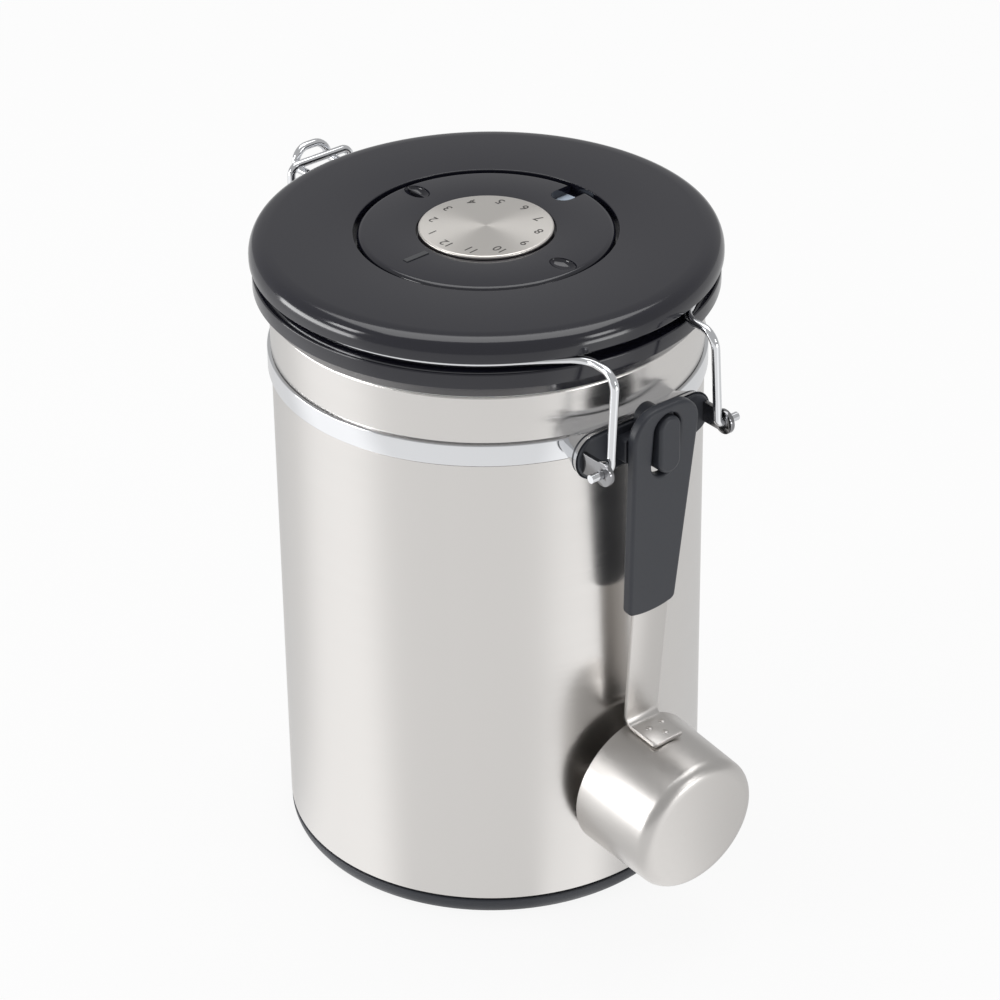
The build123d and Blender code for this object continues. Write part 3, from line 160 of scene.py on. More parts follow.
def relief(material, value, depth_mm, strength=1.0):
    """Bump of a real depth."""
    tree = material.node_tree
    bump = tree.nodes.new("ShaderNodeBump")
    bump.inputs["Strength"].default_value = strength
    bump.inputs["Distance"].default_value = depth_mm * MM
    tree.links.new(value, bump.inputs["Height"])
    tree.links.new(bump.outputs["Normal"], tree.nodes["Principled BSDF"].inputs["Normal"])


def grain_direction(material):
    """Brushed metal shines across its brush lines: these run round Z."""
    tree = material.node_tree
    tangent = tree.nodes.new("ShaderNodeTangent")
    tangent.direction_type = "RADIAL"
    tangent.axis = "Z"
    tree.links.new(tangent.outputs["Tangent"], tree.nodes["Principled BSDF"].inputs["Tangent"])


# %% [markdown]
# ## Steel finishes
# The can was brushed while it turned, so its lines run round it and its lights are drawn out up
# and down. That is anisotropy, with a tangent that runs round the axis. The fine lines are noise
# that is squeezed along Z. The polished band and the wire have hardly any lines and are much
# smoother. The ears stand over the black block and mirror it, so their steel is painted darker
# than steel is: a painted reflection of the block. The scoop is satin steel with a fine grain,
# and the dial was spun, so its lights turn round its middle.

# %% Steel finishes
brushed_steel = new_finish("brushed_steel", (0.74, 0.72, 0.70), 1.0, 0.18, Anisotropic=0.97)
grain_direction(brushed_steel)
brush_lines = object_noise(brushed_steel, (12, 12, 2400), 2.0)
vary(brushed_steel, brush_lines, "Roughness", 0.16, 0.20)
relief(brushed_steel, brush_lines, 0.0004)

polished_steel = new_finish("polished_steel", (0.80, 0.81, 0.83), 1.0, 0.08)
vary(polished_steel, object_noise(polished_steel, (90, 90, 90)), "Roughness", 0.07, 0.10)

drawn_wire = new_finish("drawn_wire", (0.80, 0.81, 0.83), 1.0, 0.09)
vary(drawn_wire, object_noise(drawn_wire, (120, 120, 120)), "Roughness", 0.08, 0.11)

# Painted reflection: the ears' steel is painted dark to stand for the black block that it mirrors.
ear_steel_painted_dark = new_finish("ear_steel_painted_dark", (0.30, 0.30, 0.31), 1.0, 0.14)
vary(ear_steel_painted_dark, object_noise(ear_steel_painted_dark, (700, 700, 700)), "Roughness", 0.11, 0.18)

satin_steel = new_finish("satin_steel", (0.65, 0.63, 0.61), 1.0, 0.34)
satin_grain = object_noise(satin_steel, (700, 900, 700), 5.0)
vary(satin_steel, satin_grain, "Roughness", 0.30, 0.37)
relief(satin_steel, satin_grain, 0.001)

spun_metal = new_finish("spun_metal", (0.84, 0.81, 0.77), 1.0, 0.30, Anisotropic=0.8)
grain_direction(spun_metal)

# %% [markdown]
# ## Moulded plastics, silicone, felt and ink
# The lid, the block, the peg and the grip are dark moulded plastic. A mould leaves a very fine
# grain, which breaks up the lights, and the plastic has a faint blue cast. The base ring is the
# same. The pointer bar on the lid is a matt, greyer one. The gasket and the flap are silicone,
# the filter is felt, and the disc under the window is a pale gloss.

# %% Plastic, silicone, felt and ink finishes
lid_plastic = new_finish("lid_plastic", (0.010, 0.010, 0.017), 0.0, 0.13, IOR=1.6)
lid_grain = object_noise(lid_plastic, (4200, 4200, 4200), 2.0)
vary(lid_plastic, lid_grain, "Roughness", 0.11, 0.15)
relief(lid_plastic, lid_grain, 0.002, 0.4)

matt_plastic = new_finish("matt_plastic", (0.055, 0.057, 0.062), 0.0, 0.5)
vary(matt_plastic, object_noise(matt_plastic, (4200, 4200, 4200), 2.0), "Roughness", 0.45, 0.55)

grip_plastic = new_finish("grip_plastic", (0.030, 0.033, 0.042), 0.0, 0.42)
grip_grain = object_noise(grip_plastic, (3600, 3600, 3600), 2.0)
vary(grip_plastic, grip_grain, "Roughness", 0.38, 0.48)
relief(grip_plastic, grip_grain, 0.006, 0.5)

silicone = new_finish("silicone", (0.62, 0.62, 0.60), 0.0, 0.55, Subsurface_Weight=0.15)
relief(silicone, object_noise(silicone, (2500, 2500, 2500)), 0.006)

pale_gloss = new_finish("pale_gloss", (0.55, 0.63, 0.74), 0.0, 0.2)
vary(pale_gloss, object_noise(pale_gloss, (1200, 1200, 1200)), "Roughness", 0.16, 0.26)

filter_felt = new_finish("filter_felt", (0.7, 0.68, 0.63), 0.0, 0.9)
felt_fibres = object_noise(filter_felt, (5000, 5000, 5000), 6.0)
tint(filter_felt, felt_fibres, (0.55, 0.53, 0.48), (0.8, 0.78, 0.74))
relief(filter_felt, felt_fibres, 0.05)

number_ink = new_finish("number_ink", (0.045, 0.042, 0.04), 0.0, 0.5)
vary(number_ink, object_noise(number_ink, (3000, 3000, 3000)), "Roughness", 0.42, 0.6)

# %% [markdown]
# ## Turning shapes
# Most pieces are round, as if turned on a lathe. The section is drawn as a few corners in the XZ
# plane. The vertex bevel rounds each corner before the spin goes round the axis, so a fillet
# costs one number. A full spin with use_merge joins its own ends, and points on the axis are
# merged after.

# %% Turning helpers
ROUND_STEPS = 192
SAME_POINT = 0.0005
CREASE_DEG = 32


def round_off(bm, geom, width, steps, affect="EDGES", clamp_overlap=False):
    """Rounds the given edges, or the given vertices, off."""
    bmesh.ops.bevel(
        bm,
        geom=geom,
        offset=width,
        offset_type="OFFSET",
        segments=steps,
        profile=0.5,
        affect=affect,
        clamp_overlap=clamp_overlap,
        material=-1,
    )


def section(bm, corners, closed, fillet_steps):
    """Corners are (radius, height) or (radius, height, rounding) in millimetres."""
    points = [bm.verts.new((corner[0], 0, corner[1])) for corner in corners]
    for first, second in zip(points, points[1:]):
        bm.edges.new((first, second))
    if closed:
        bm.edges.new((points[-1], points[0]))
    rounded = [(point, corner[2]) for point, corner in zip(points, corners) if len(corner) > 2]
    for point, rounding in rounded:
        round_off(bm, [point], rounding, fillet_steps, "VERTICES")


def turned(corners, closed=True, fillet_steps=5):
    """A bmesh in millimetres, turned about Z from a section."""
    bm = bmesh.new()
    section(bm, corners, closed, fillet_steps)
    bmesh.ops.spin(
        bm,
        geom=bm.verts[:] + bm.edges[:],
        cent=(0, 0, 0),
        axis=(0, 0, 1),
        angle=math.tau,
        steps=ROUND_STEPS,
        use_merge=True,
    )
    bmesh.ops.remove_doubles(bm, verts=bm.verts[:], dist=SAME_POINT)
    bmesh.ops.recalc_face_normals(bm, faces=bm.faces[:])
    return bm


def finish_piece(bm, name, material, body, stands_for=(), even_flats=False):
    """Scales a bmesh to metres, shades it, and hands it to its body."""
    bmesh.ops.scale(bm, vec=(MM, MM, MM), verts=bm.verts[:])
    mesh = bpy.data.meshes.new(name)
    bm.to_mesh(mesh)
    bm.free()
    mesh.shade_smooth()
    mesh.set_sharp_from_angle(angle=math.radians(CREASE_DEG))
    mesh.materials.append(material)
    piece = bpy.data.objects.new(name, mesh)
    bpy.context.scene.collection.objects.link(piece)
    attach(piece, body)
    if stands_for:
        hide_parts(*stands_for)
    if even_flats:
        piece.modifiers.new("even_flats", "WEIGHTED_NORMAL").keep_sharp = True
    sides = [round(side / MM, 1) for side in piece.dimensions]
    print(f"{name}: {len(mesh.polygons)} faces, {sides} mm")


# %% [markdown]
# ## The can, its base ring and the polished band
# The can is one thin wall, so its section is a closed loop that goes up the outside, over the
# rolled mouth and down the inside. The loop starts and ends on the axis, and stays open there.
# The base ring and the band are closed loops of their own.

# %% Can, base ring and band
CAN_RADIUS = 60.0
CAN_BOTTOM = 5.1
CAN_MOUTH = 169.1
finish_piece(
    turned(
        [
            (0, CAN_BOTTOM),
            (CAN_RADIUS, CAN_BOTTOM, 1.6),
            (CAN_RADIUS, 148.0),
            (59.6, 148.2),
            (59.6, 155.2),
            (CAN_RADIUS, 155.2),
            (CAN_RADIUS, CAN_MOUTH, 0.9),
            (58.2, CAN_MOUTH, 0.9),
            (58.2, 167.3, 0.4),
            (59.2, 166.6, 0.4),
            (59.2, 5.9, 0.8),
            (0, 5.9),
        ],
        closed=False,
    ),
    "can_shell",
    brushed_steel,
    "canister",
    ["can_body"],
)
finish_piece(
    turned(
        [
            (50, 0, 0.5),
            (57.9, 0, 0.9),
            (59.9, 2.8, 1.6),
            (59.9, CAN_BOTTOM, 0.35),
            (50, CAN_BOTTOM, 0.3),
        ]
    ),
    "base_foot",
    grip_plastic,
    "canister",
    ["base_ring"],
)
finish_piece(
    turned([(59.7, 148.6), (61.0, 148.6, 0.35), (61.0, 154.9, 0.35), (59.7, 154.9)]),
    "polished_band",
    polished_steel,
    "canister",
    ["neck_band"],
)

# %% [markdown]
# ## The lid
# The lid has two mouldings. The cover has a large bevel round its top and the recess for the
# dial. The base has the groove where the wire lies, the flange under it, and the plug that goes
# into the can's mouth. Each is one section. The cover's screw posts are cylinders added to the
# same mesh.


# %% Lid
LID_TOP = 188.0
PLUG_FLOOR = 173.5
JOINT_Z = 183.0
POST_CIRCLE = 46
POST_RADIUS = 3.6
POST_TOP = 186.2


def add_post(bm, x, y):
    """A round screw post standing in a bmesh."""
    made = bmesh.ops.create_cone(
        bm,
        cap_ends=True,
        segments=32,
        radius1=POST_RADIUS,
        radius2=POST_RADIUS,
        depth=POST_TOP - PLUG_FLOOR,
    )
    bmesh.ops.translate(bm, vec=(x, y, (PLUG_FLOOR + POST_TOP) / 2), verts=made["verts"])


cover_mesh = turned(
    [
        (4.3, 184.6),
        (4.3, JOINT_Z),
        (38.7, JOINT_Z),
        (38.7, 185.9),
        (57.4, 185.9),
        (57.4, JOINT_Z),
        (59.6, JOINT_Z),
        (59.6, 181.3),
        (64.9, 181.3, 0.6),
        (64.9, 184.9, 1.8),
        (63.2, 187.2, 1.5),
        (60.2, LID_TOP, 1.4),
        (36.3, LID_TOP, 0.3),
        (36.3, 184.6),
    ],
    fillet_steps=6,
)
for quarter in range(4):
    post_angle = quarter * math.pi / 2
    add_post(cover_mesh, POST_CIRCLE * math.cos(post_angle), POST_CIRCLE * math.sin(post_angle))
finish_piece(cover_mesh, "cover_shell", lid_plastic, "lid", ["lid_cover"])
finish_piece(
    turned(
        [
            (9.0, PLUG_FLOOR),
            (9.0, 171.5),
            (52.8, 171.5, 0.6),
            (49.0, 161.5, 0.8),
            (51.4, 161.5, 0.9),
            (55.2, 169.8, 0.4),
            (57.2, 169.8, 0.2),
            (57.2, 171.5),
            (60.5, 171.5),
            (60.5, 169.8),
            (61.1, 169.8, 0.25),
            (63.6, 173.6, 0.15),
            (64.2, 173.6, 0.25),
            (64.2, 178.1, 0.55),
            (59.6, 178.1, 0.4),
            (59.6, JOINT_Z),
            (57.4, JOINT_Z),
            (57.4, PLUG_FLOOR),
        ]
    ),
    "base_shell",
    lid_plastic,
    "lid",
    ["lid_base"],
)

# %% [markdown]
# ## The date ring
# The ring turns over a pale disc, which shows through a window that is open to the outside. Two
# oval dimples, each with a thin blade along it, give the fingers a hold. The window and the
# dimples are cut with the Boolean modifier, because they are places where one shape takes away
# from another.


# %% Cutting helpers
def slot_outline(bm, length, width, steps=48):
    """A flat face with straight sides and round ends, centred on the origin in XY."""
    made = bmesh.ops.create_circle(bm, cap_ends=True, segments=steps, radius=width / 2)
    bmesh.ops.rotate(bm, verts=made["verts"], matrix=Matrix.Rotation(math.pi / steps, 3, "Z"))
    reach = (length - width) / 2
    bmesh.ops.translate(bm, vec=(reach, 0, 0), verts=[v for v in made["verts"] if v.co.x > 0])
    bmesh.ops.translate(bm, vec=(-reach, 0, 0), verts=[v for v in made["verts"] if v.co.x < 0])
    return made["verts"]


def raise_face(bm, face, distance):
    """Extrudes one flat face along Z and returns the new vertices."""
    grown = bmesh.ops.extrude_face_region(bm, geom=[face])
    moved = [v for v in grown["geom"] if isinstance(v, bmesh.types.BMVert)]
    bmesh.ops.translate(bm, vec=(0, 0, distance), verts=moved)
    return moved


def cut(bm, cutter):
    """Takes the cutter's shape out of a bmesh, both in millimetres."""
    meshes = []
    for source, name in ((bm, "cut_target"), (cutter, "cut_tool")):
        mesh = bpy.data.meshes.new(name)
        source.to_mesh(mesh)
        source.free()
        meshes.append(mesh)
    target = bpy.data.objects.new("cut_target", meshes[0])
    tool = bpy.data.objects.new("cut_tool", meshes[1])
    for helper in (target, tool):
        bpy.context.scene.collection.objects.link(helper)
    modifier = target.modifiers.new("cut", "BOOLEAN")
    modifier.operation = "DIFFERENCE"
    modifier.solver = "EXACT"
    modifier.object = tool
    bpy.context.view_layer.update()
    result = bmesh.new()
    shown = target.evaluated_get(bpy.context.evaluated_depsgraph_get())
    result.from_mesh(shown.to_mesh())
    shown.to_mesh_clear()
    for helper in (target, tool):
        bpy.data.objects.remove(helper)
    for mesh in meshes:
        bpy.data.meshes.remove(mesh)
    return result


def set_round(bm, verts, size, out, height, angle_deg):
    """Scales a unit shape, sets it this far out along X, and turns it round the lid's axis."""
    bmesh.ops.scale(bm, vec=size, verts=verts)
    bmesh.ops.translate(bm, vec=(out, 0, height), verts=verts)
    bmesh.ops.rotate(bm, verts=verts, matrix=Matrix.Rotation(math.radians(angle_deg), 3, "Z"))


# %% Date ring, with its window and dimples
RING_RADIUS = 35.3
WINDOW_LENGTH, WINDOW_WIDTH = 19.2, 6.8
WINDOW_DEG = 183.6
DIMPLE_DEGREES = (94.4, 270.8)
DIMPLE_OUT = 29.8
DIMPLE_REACH = (4.4, 2.9, 1.7)
BLADE_SIZE = (7.6, 0.5, 1.4)
BLADE_Z = 186.9
POINTER_SIZE = (7.6, 1.7, 0.45)
POINTER_OUT = 25.0
POINTER_DEG = 2.0
ring_mesh = turned(
    [
        (16.6, 185.6),
        (RING_RADIUS, 185.6, 0.3),
        (RING_RADIUS, LID_TOP, 1.6),
        (19.1, LID_TOP, 0.35),
        (19.1, 186.5),
        (16.6, 186.5),
    ]
)
window_tool = bmesh.new()
slot_outline(window_tool, WINDOW_LENGTH, WINDOW_WIDTH)
raise_face(window_tool, window_tool.faces[:][0], 8)
set_round(window_tool, window_tool.verts[:], (1, 1, 1), RING_RADIUS, 182, WINDOW_DEG)
bmesh.ops.recalc_face_normals(window_tool, faces=window_tool.faces[:])
ring_mesh = cut(ring_mesh, window_tool)
for dimple_deg in DIMPLE_DEGREES:
    dimple_tool = bmesh.new()
    bmesh.ops.create_uvsphere(dimple_tool, u_segments=40, v_segments=20, radius=1)
    set_round(
        dimple_tool, dimple_tool.verts[:], DIMPLE_REACH, DIMPLE_OUT, LID_TOP, dimple_deg
    )
    ring_mesh = cut(ring_mesh, dimple_tool)
    blade = bmesh.ops.create_cube(ring_mesh, size=1)["verts"]
    set_round(ring_mesh, blade, BLADE_SIZE, DIMPLE_OUT, BLADE_Z, dimple_deg)
finish_piece(ring_mesh, "turning_ring", lid_plastic, "date_ring", ["date_ring"])
pointer_mesh = bmesh.new()
bmesh.ops.create_cube(pointer_mesh, size=1)
set_round(
    pointer_mesh, pointer_mesh.verts[:], POINTER_SIZE, POINTER_OUT, LID_TOP, POINTER_DEG
)
finish_piece(pointer_mesh, "pointer", matt_plastic, "date_ring")

# %% [markdown]
# ## The dial and its numbers
# The dial is a spun metal disc. Its numbers stand upright in one direction, like a clock's. They
# are text, made into a mesh and laid a hair above the metal, as printed ink is. Only the numbers
# one to twelve are on it.

# %% Dial
DIAL_TURN_DEG = 5.5
NUMBER_RADIUS = 14.9
NUMBER_HEIGHT = 2.9
NUMBER_SHARE = 0.72  # the height of a digit as a share of its text size
INK_Z = 188.91
INK_HALF_DEPTH = 0.02
DIAL_RADIUS = 18.57
DIAL_LOW, DIAL_TOP = 186.9, 188.9
finish_piece(
    turned(
        [
            (0, DIAL_LOW),
            (DIAL_RADIUS, DIAL_LOW, 0.2),
            (DIAL_RADIUS, DIAL_TOP, 0.55),
            (0, DIAL_TOP),
        ],
        closed=False,
    ),
    "dial_face",
    spun_metal,
    "dial",
    ["dial"],
)
numbers_mesh = bmesh.new()
for number in range(1, 13):
    text = bpy.data.curves.new(f"number_{number}", "FONT")
    text.body = str(number)
    text.align_x = "CENTER"
    text.align_y = "CENTER"
    text.size = NUMBER_HEIGHT / NUMBER_SHARE
    text.extrude = INK_HALF_DEPTH
    text.resolution_u = 6
    holder = bpy.data.objects.new(f"number_{number}", text)
    bpy.context.scene.collection.objects.link(holder)
    bpy.context.view_layer.update()
    flat = bpy.data.meshes.new_from_object(holder)
    spot = math.radians(DIAL_TURN_DEG - 30 * number)
    flat.transform(
        Matrix.Translation(
            (NUMBER_RADIUS * math.cos(spot), NUMBER_RADIUS * math.sin(spot), INK_Z)
        )
        @ Matrix.Rotation(math.radians(DIAL_TURN_DEG - 90), 4, "Z")
    )
    numbers_mesh.from_mesh(flat)
    bpy.data.objects.remove(holder)
    bpy.data.meshes.remove(flat)
finish_piece(numbers_mesh, "dial_numbers", number_ink, "dial")

# %% [markdown]
# ## Bent wire
# The bail, the link and the lever are bent from round wire. Each path is drawn as a few corner
# points joined by edges. The vertex bevel rounds each bend, and the path becomes a curve whose
# round bevel gives the wire its thickness. Only the half at +X is drawn: the mirror operator
# makes the rest.


# %% Wire helpers
def wire_path(bends):
    """A chain of edges through (point, rounding) pairs, with the roundings as vertex bevels."""
    bm = bmesh.new()
    points = [bm.verts.new(point) for point, _ in bends]
    for first, second in zip(points, points[1:]):
        bm.edges.new((first, second))
    for point, (_, rounding) in zip(points, bends):
        if rounding:
            round_off(bm, [point], rounding, 8, "VERTICES")
    return bm


def mirror_path(bm):
    """Adds the mirror image across the YZ plane and joins it where the halves meet."""
    bmesh.ops.mirror(bm, geom=bm.verts[:] + bm.edges[:], axis="X", merge_dist=0.001)
    bmesh.ops.remove_doubles(bm, verts=bm.verts[:], dist=0.001)


def wire_from_path(bm, radius):
    """Turns a chain of edges into a round wire, as a bmesh."""
    mesh = bpy.data.meshes.new("wire_line")
    bm.to_mesh(mesh)
    bm.free()
    line = bpy.data.objects.new("wire_line", mesh)
    bpy.context.scene.collection.objects.link(line)
    bpy.ops.object.select_all(action="DESELECT")
    bpy.context.view_layer.objects.active = line
    line.select_set(True)
    bpy.ops.object.convert(target="CURVE")
    line.data.bevel_depth = radius
    line.data.bevel_resolution = 6
    line.data.use_fill_caps = True
    round_wire = bmesh.new()
    solid = bpy.data.meshes.new_from_object(line)
    round_wire.from_mesh(solid)
    bmesh.ops.remove_doubles(round_wire, verts=round_wire.verts[:], dist=SAME_POINT)
    bmesh.ops.recalc_face_normals(round_wire, faces=round_wire.faces[:])
    bpy.data.objects.remove(line)
    bpy.data.meshes.remove(solid)
    return round_wire


# %% [markdown]
# The bail rises from its pins in the rear ears, turns in over the lid, and meets the groove where
# its straight run touches the groove's circle. A spin draws the long arc round the lid. At the
# front the wire leaves the groove in a straight line again and ends in the raised hook.

# %% Bail
WIRE_RADIUS = 1.2
PIN_OUT = 73.8
PIN_Z = 151.8
GROOVE_RADIUS = 61.0
GROOVE_Z = 179.7
RISE_X = 17.3  # where the wire rises from its pin
ENTRY_X = 33.9  # where it enters the groove, at the rear
LEAVE_X = 9.0  # where it leaves the groove, at the front
HOOK_X = 5.9
HOOK_OUT = 80.0
HOOK_Z = 184.1
groove_start = math.acos(ENTRY_X / GROOVE_RADIUS)
entry_y = GROOVE_RADIUS * math.sin(groove_start)
turn_y = entry_y + (ENTRY_X - RISE_X) / math.tan(groove_start)
leave_angle = -math.acos(LEAVE_X / GROOVE_RADIUS)
leave_y = GROOVE_RADIUS * math.sin(leave_angle)
tangent_run = (LEAVE_X - HOOK_X) / -math.sin(leave_angle)
bail_line = wire_path(
    [
        ((25.8, PIN_OUT, PIN_Z), 0),
        ((18.9, PIN_OUT, PIN_Z), 1.9),
        ((RISE_X, PIN_OUT, GROOVE_Z), 5.0),
        ((RISE_X, turn_y, GROOVE_Z), 4.3),
        ((ENTRY_X, entry_y, GROOVE_Z), 0),
    ]
)
groove_verts = [
    v for v in bail_line.verts if v.co.z > 179 and abs(v.co.xy.length - GROOVE_RADIUS) < 0.01
]
bmesh.ops.spin(
    bail_line,
    geom=groove_verts,
    cent=(0, 0, 0),
    axis=(0, 0, 1),
    angle=leave_angle - groove_start,
    steps=150,
)
hook_line = wire_path(
    [
        ((GROOVE_RADIUS * math.cos(leave_angle), leave_y, GROOVE_Z), 0),
        ((HOOK_X, leave_y - tangent_run * math.cos(leave_angle), GROOVE_Z), 1.9),
        ((HOOK_X, -79.2, 178.9), 1.6),
        ((4.9, -HOOK_OUT, HOOK_Z), 3.6),
        ((0, -HOOK_OUT, HOOK_Z), 0),
    ]
)
hook_mesh = bpy.data.meshes.new("hook_line")
hook_line.to_mesh(hook_mesh)
hook_line.free()
bail_line.from_mesh(hook_mesh)
bpy.data.meshes.remove(hook_mesh)
bmesh.ops.remove_doubles(bail_line, verts=bail_line.verts[:], dist=0.01)
mirror_path(bail_line)
finish_piece(
    wire_from_path(bail_line, WIRE_RADIUS), "bail", drawn_wire, "bail", ["bail_wire"]
)

# %% [markdown]
# The link's top bar lies over the hook, and its arms end in eyes that a spin bends round the
# lever. The lever turns on pins in the front ears and hangs down the can to a short grip.

# %% Link and lever
LEVER_WIRE_RADIUS = 1.3
EYE_RADIUS = 2.58
EYE_TURN_DEG = 250
EYE_X = 12.4
PIVOT_OUT = 71.2
PIVOT_Z = 142.8
BAR_OUT = 75.3  # the link's top bar, which holds the hook down
BAR_Z = 181.8
ARM_X = 8.0
TIP_OUT = 77.0  # the lever's end, where the finger pulls
TIP_Z = 108.0
link_line = wire_path(
    [
        ((0, -BAR_OUT, BAR_Z), 0),
        ((10.2, -BAR_OUT, BAR_Z), 2.5),
        ((EYE_X, -PIVOT_OUT - EYE_RADIUS, 150.0), 1.0),
        ((EYE_X, -PIVOT_OUT - EYE_RADIUS, PIVOT_Z), 0),
    ]
)
eye_start = [v for v in link_line.verts if v.co.z < 143]
bmesh.ops.spin(
    link_line,
    geom=eye_start,
    cent=(EYE_X, -PIVOT_OUT, PIVOT_Z),
    axis=(1, 0, 0),
    angle=math.radians(EYE_TURN_DEG),
    steps=40,
)
bmesh.ops.remove_doubles(link_line, verts=link_line.verts[:], dist=0.001)
mirror_path(link_line)
finish_piece(
    wire_from_path(link_line, WIRE_RADIUS), "link", drawn_wire, "link", ["clamp_link"]
)
lever_line = wire_path(
    [
        ((25.4, -PIN_OUT, PIN_Z), 0),
        ((18.8, -PIN_OUT, PIN_Z), 2.1),
        ((18.8, -PIVOT_OUT, PIVOT_Z), 2.1),
        ((ARM_X, -PIVOT_OUT, PIVOT_Z), 2.1),
        ((ARM_X, -73.0, 117.0), 2.5),
        ((ARM_X, -TIP_OUT, TIP_Z), 3.6),
        ((0, -TIP_OUT, TIP_Z), 0),
    ]
)
mirror_path(lever_line)
finish_piece(
    wire_from_path(lever_line, LEVER_WIRE_RADIUS),
    "lever",
    drawn_wire,
    "lever",
    ["clamp_lever"],
)

# %% [markdown]
# ## The brackets
# Each bracket is a polished oval tray on the can's neck, filled with a moulded block that holds
# the bent steel plate with the ears. The tray starts as a slot-shaped face. An inset with a depth
# draws it back into the can and makes it narrower, so that the wall flares out to the rim. The
# rim is closed by a face that is inset by the wall's thickness and sunk a little as the tray's
# floor. The can's own round shape is then cut away. The plate is a copy of the CAD piece with its
# edges softened.


# %% Bracket helpers
TRAY_LENGTH, TRAY_HEIGHT = 47.4, 13.2
TRAY_FLARE = 5.1
TRAY_DEPTH = 14.0
TRAY_WALL = 0.6
TRAY_RIM_OUT = 65.4
TRAY_FLOOR_SINK = 0.8
TRAY_BACK_RADIUS = 59.9


def facing(side):
    """Turns local XY to the plane across the radius: side 1 at the rear, -1 at the front."""
    return Matrix(((-side, 0, 0, 0), (0, 0, side, 0), (0, 1, 0, PIN_Z), (0, 0, 0, 1)))


def all_edges_rounded(bm, width, steps, above_deg):
    """Bevels every edge whose faces meet at more than the given angle."""
    sharp = [
        edge
        for edge in bm.edges
        if len(edge.link_faces) == 2 and edge.calc_face_angle(0) > math.radians(above_deg)
    ]
    round_off(bm, sharp, width, steps, clamp_overlap=True)


def rounded_box(bm, width, height, low, high, corner, edge):
    """A block along local Z with rounded corners, and a rounded front edge."""
    made = bmesh.ops.create_cube(bm, size=1)["verts"]
    bmesh.ops.scale(bm, vec=(width, height, high - low), verts=made)
    bmesh.ops.translate(bm, vec=(0, 0, (low + high) / 2), verts=made)
    uprights = [
        e
        for e in bm.edges
        if e.verts[0] in made and abs(e.verts[0].co.z - e.verts[1].co.z) > 0.1
    ]
    round_off(bm, uprights, corner, 8)
    front = [
        e
        for e in bm.edges
        if all(abs(v.co.z - high) < 0.001 for v in e.verts) and e.calc_face_angle(0) > 1
    ]
    round_off(bm, front, edge, 4)


def rounded_slot(bm, length, width, low, high, edge, middle=0, turn=0.0):
    """A slot-shaped block along local Z with a rounded front edge."""
    outline = slot_outline(bm, length, width)
    face = next(f for f in bm.faces if set(f.verts) == set(outline))
    tip = raise_face(bm, face, high - low)
    block = outline + tip
    bmesh.ops.rotate(bm, verts=block, matrix=Matrix.Rotation(turn, 3, "Z"))
    bmesh.ops.translate(bm, vec=(0, middle, low), verts=block)
    round_off(bm, [e for e in bm.edges if all(v in tip for v in e.verts)], edge, 5)


def make_tray(side, name, node):
    """The polished oval tray, drawn back from its rim and cut to the round can."""
    bm = bmesh.new()
    slot_outline(bm, TRAY_LENGTH, TRAY_HEIGHT, 64)
    back = bm.faces[:]
    bmesh.ops.reverse_faces(bm, faces=back)
    bmesh.ops.inset_region(
        bm,
        faces=back,
        thickness=TRAY_FLARE,
        depth=TRAY_DEPTH,
        use_boundary=True,
        use_even_offset=True,
    )
    rim_loop = [e for e in bm.edges if e.is_boundary]
    rim = bmesh.ops.contextual_create(bm, geom=rim_loop)["faces"]
    bmesh.ops.inset_region(bm, faces=rim, thickness=TRAY_WALL, use_even_offset=True)
    floor_verts = list({v for f in rim for v in f.verts})
    bmesh.ops.translate(bm, vec=(0, 0, -TRAY_FLOOR_SINK), verts=floor_verts)
    bmesh.ops.translate(bm, vec=(0, 0, TRAY_RIM_OUT), verts=bm.verts[:])
    bmesh.ops.transform(bm, matrix=facing(side), verts=bm.verts[:])
    bmesh.ops.recalc_face_normals(bm, faces=bm.faces[:])
    can_shape = [(0, 140), (TRAY_BACK_RADIUS, 140), (TRAY_BACK_RADIUS, 164), (0, 164)]
    bm = cut(bm, turned(can_shape, closed=False))
    rim_edges = [
        e
        for e in bm.edges
        if all(abs(abs(v.co.y) - TRAY_RIM_OUT) < 0.01 for v in e.verts)
        and e.calc_face_angle(0) > math.radians(50)
    ]
    round_off(bm, rim_edges, 0.2, 3)
    finish_piece(bm, name, polished_steel, "canister", [node])


def make_block(side, name, node, with_peg):
    """The moulded block with its middle boss, and at the rear the peg for the scoop."""
    bm = bmesh.new()
    rounded_slot(bm, length=46.2, width=12.0, low=63.1, high=66.0, edge=0.5)
    rounded_box(bm, width=19.8, height=7.5, low=65.0, high=69.5, corner=1.2, edge=0.5)
    if with_peg:
        rounded_box(bm, width=9.0, height=12.0, low=65.2, high=69.4, corner=3.0, edge=0.5)
        rounded_slot(
            bm, length=17.0, width=7.5, low=65.5, high=76.5, edge=1.2, middle=1.7, turn=math.pi / 2
        )
    bmesh.ops.transform(bm, matrix=facing(side), verts=bm.verts[:])
    bmesh.ops.recalc_face_normals(bm, faces=bm.faces[:])
    finish_piece(bm, name, grip_plastic, "canister", [node], even_flats=True)


def make_ears(name, node):
    """A merged copy of the CAD's bent plate with its sharp edges bevelled."""
    bm = bmesh.new()
    bm.from_mesh(nodes[node].data)
    bmesh.ops.scale(bm, vec=(1 / MM,) * 3, verts=bm.verts[:])
    bmesh.ops.remove_doubles(bm, verts=bm.verts[:], dist=0.002)
    bmesh.ops.dissolve_limit(
        bm, angle_limit=math.radians(0.6), verts=bm.verts[:], edges=bm.edges[:]
    )
    all_edges_rounded(bm, width=0.2, steps=2, above_deg=40)
    finish_piece(bm, name, ear_steel_painted_dark, "canister", [node])


# %% Brackets
make_tray(1, "rear_tray", "rear_bracket")
make_tray(-1, "front_tray", "front_bracket")
make_block(1, "rear_block", "rear_hinge_block", with_peg=True)
make_block(-1, "front_block", "front_hinge_block", with_peg=False)
make_ears("rear_ears", "rear_hinge_plate")
make_ears("front_ears", "front_hinge_plate")

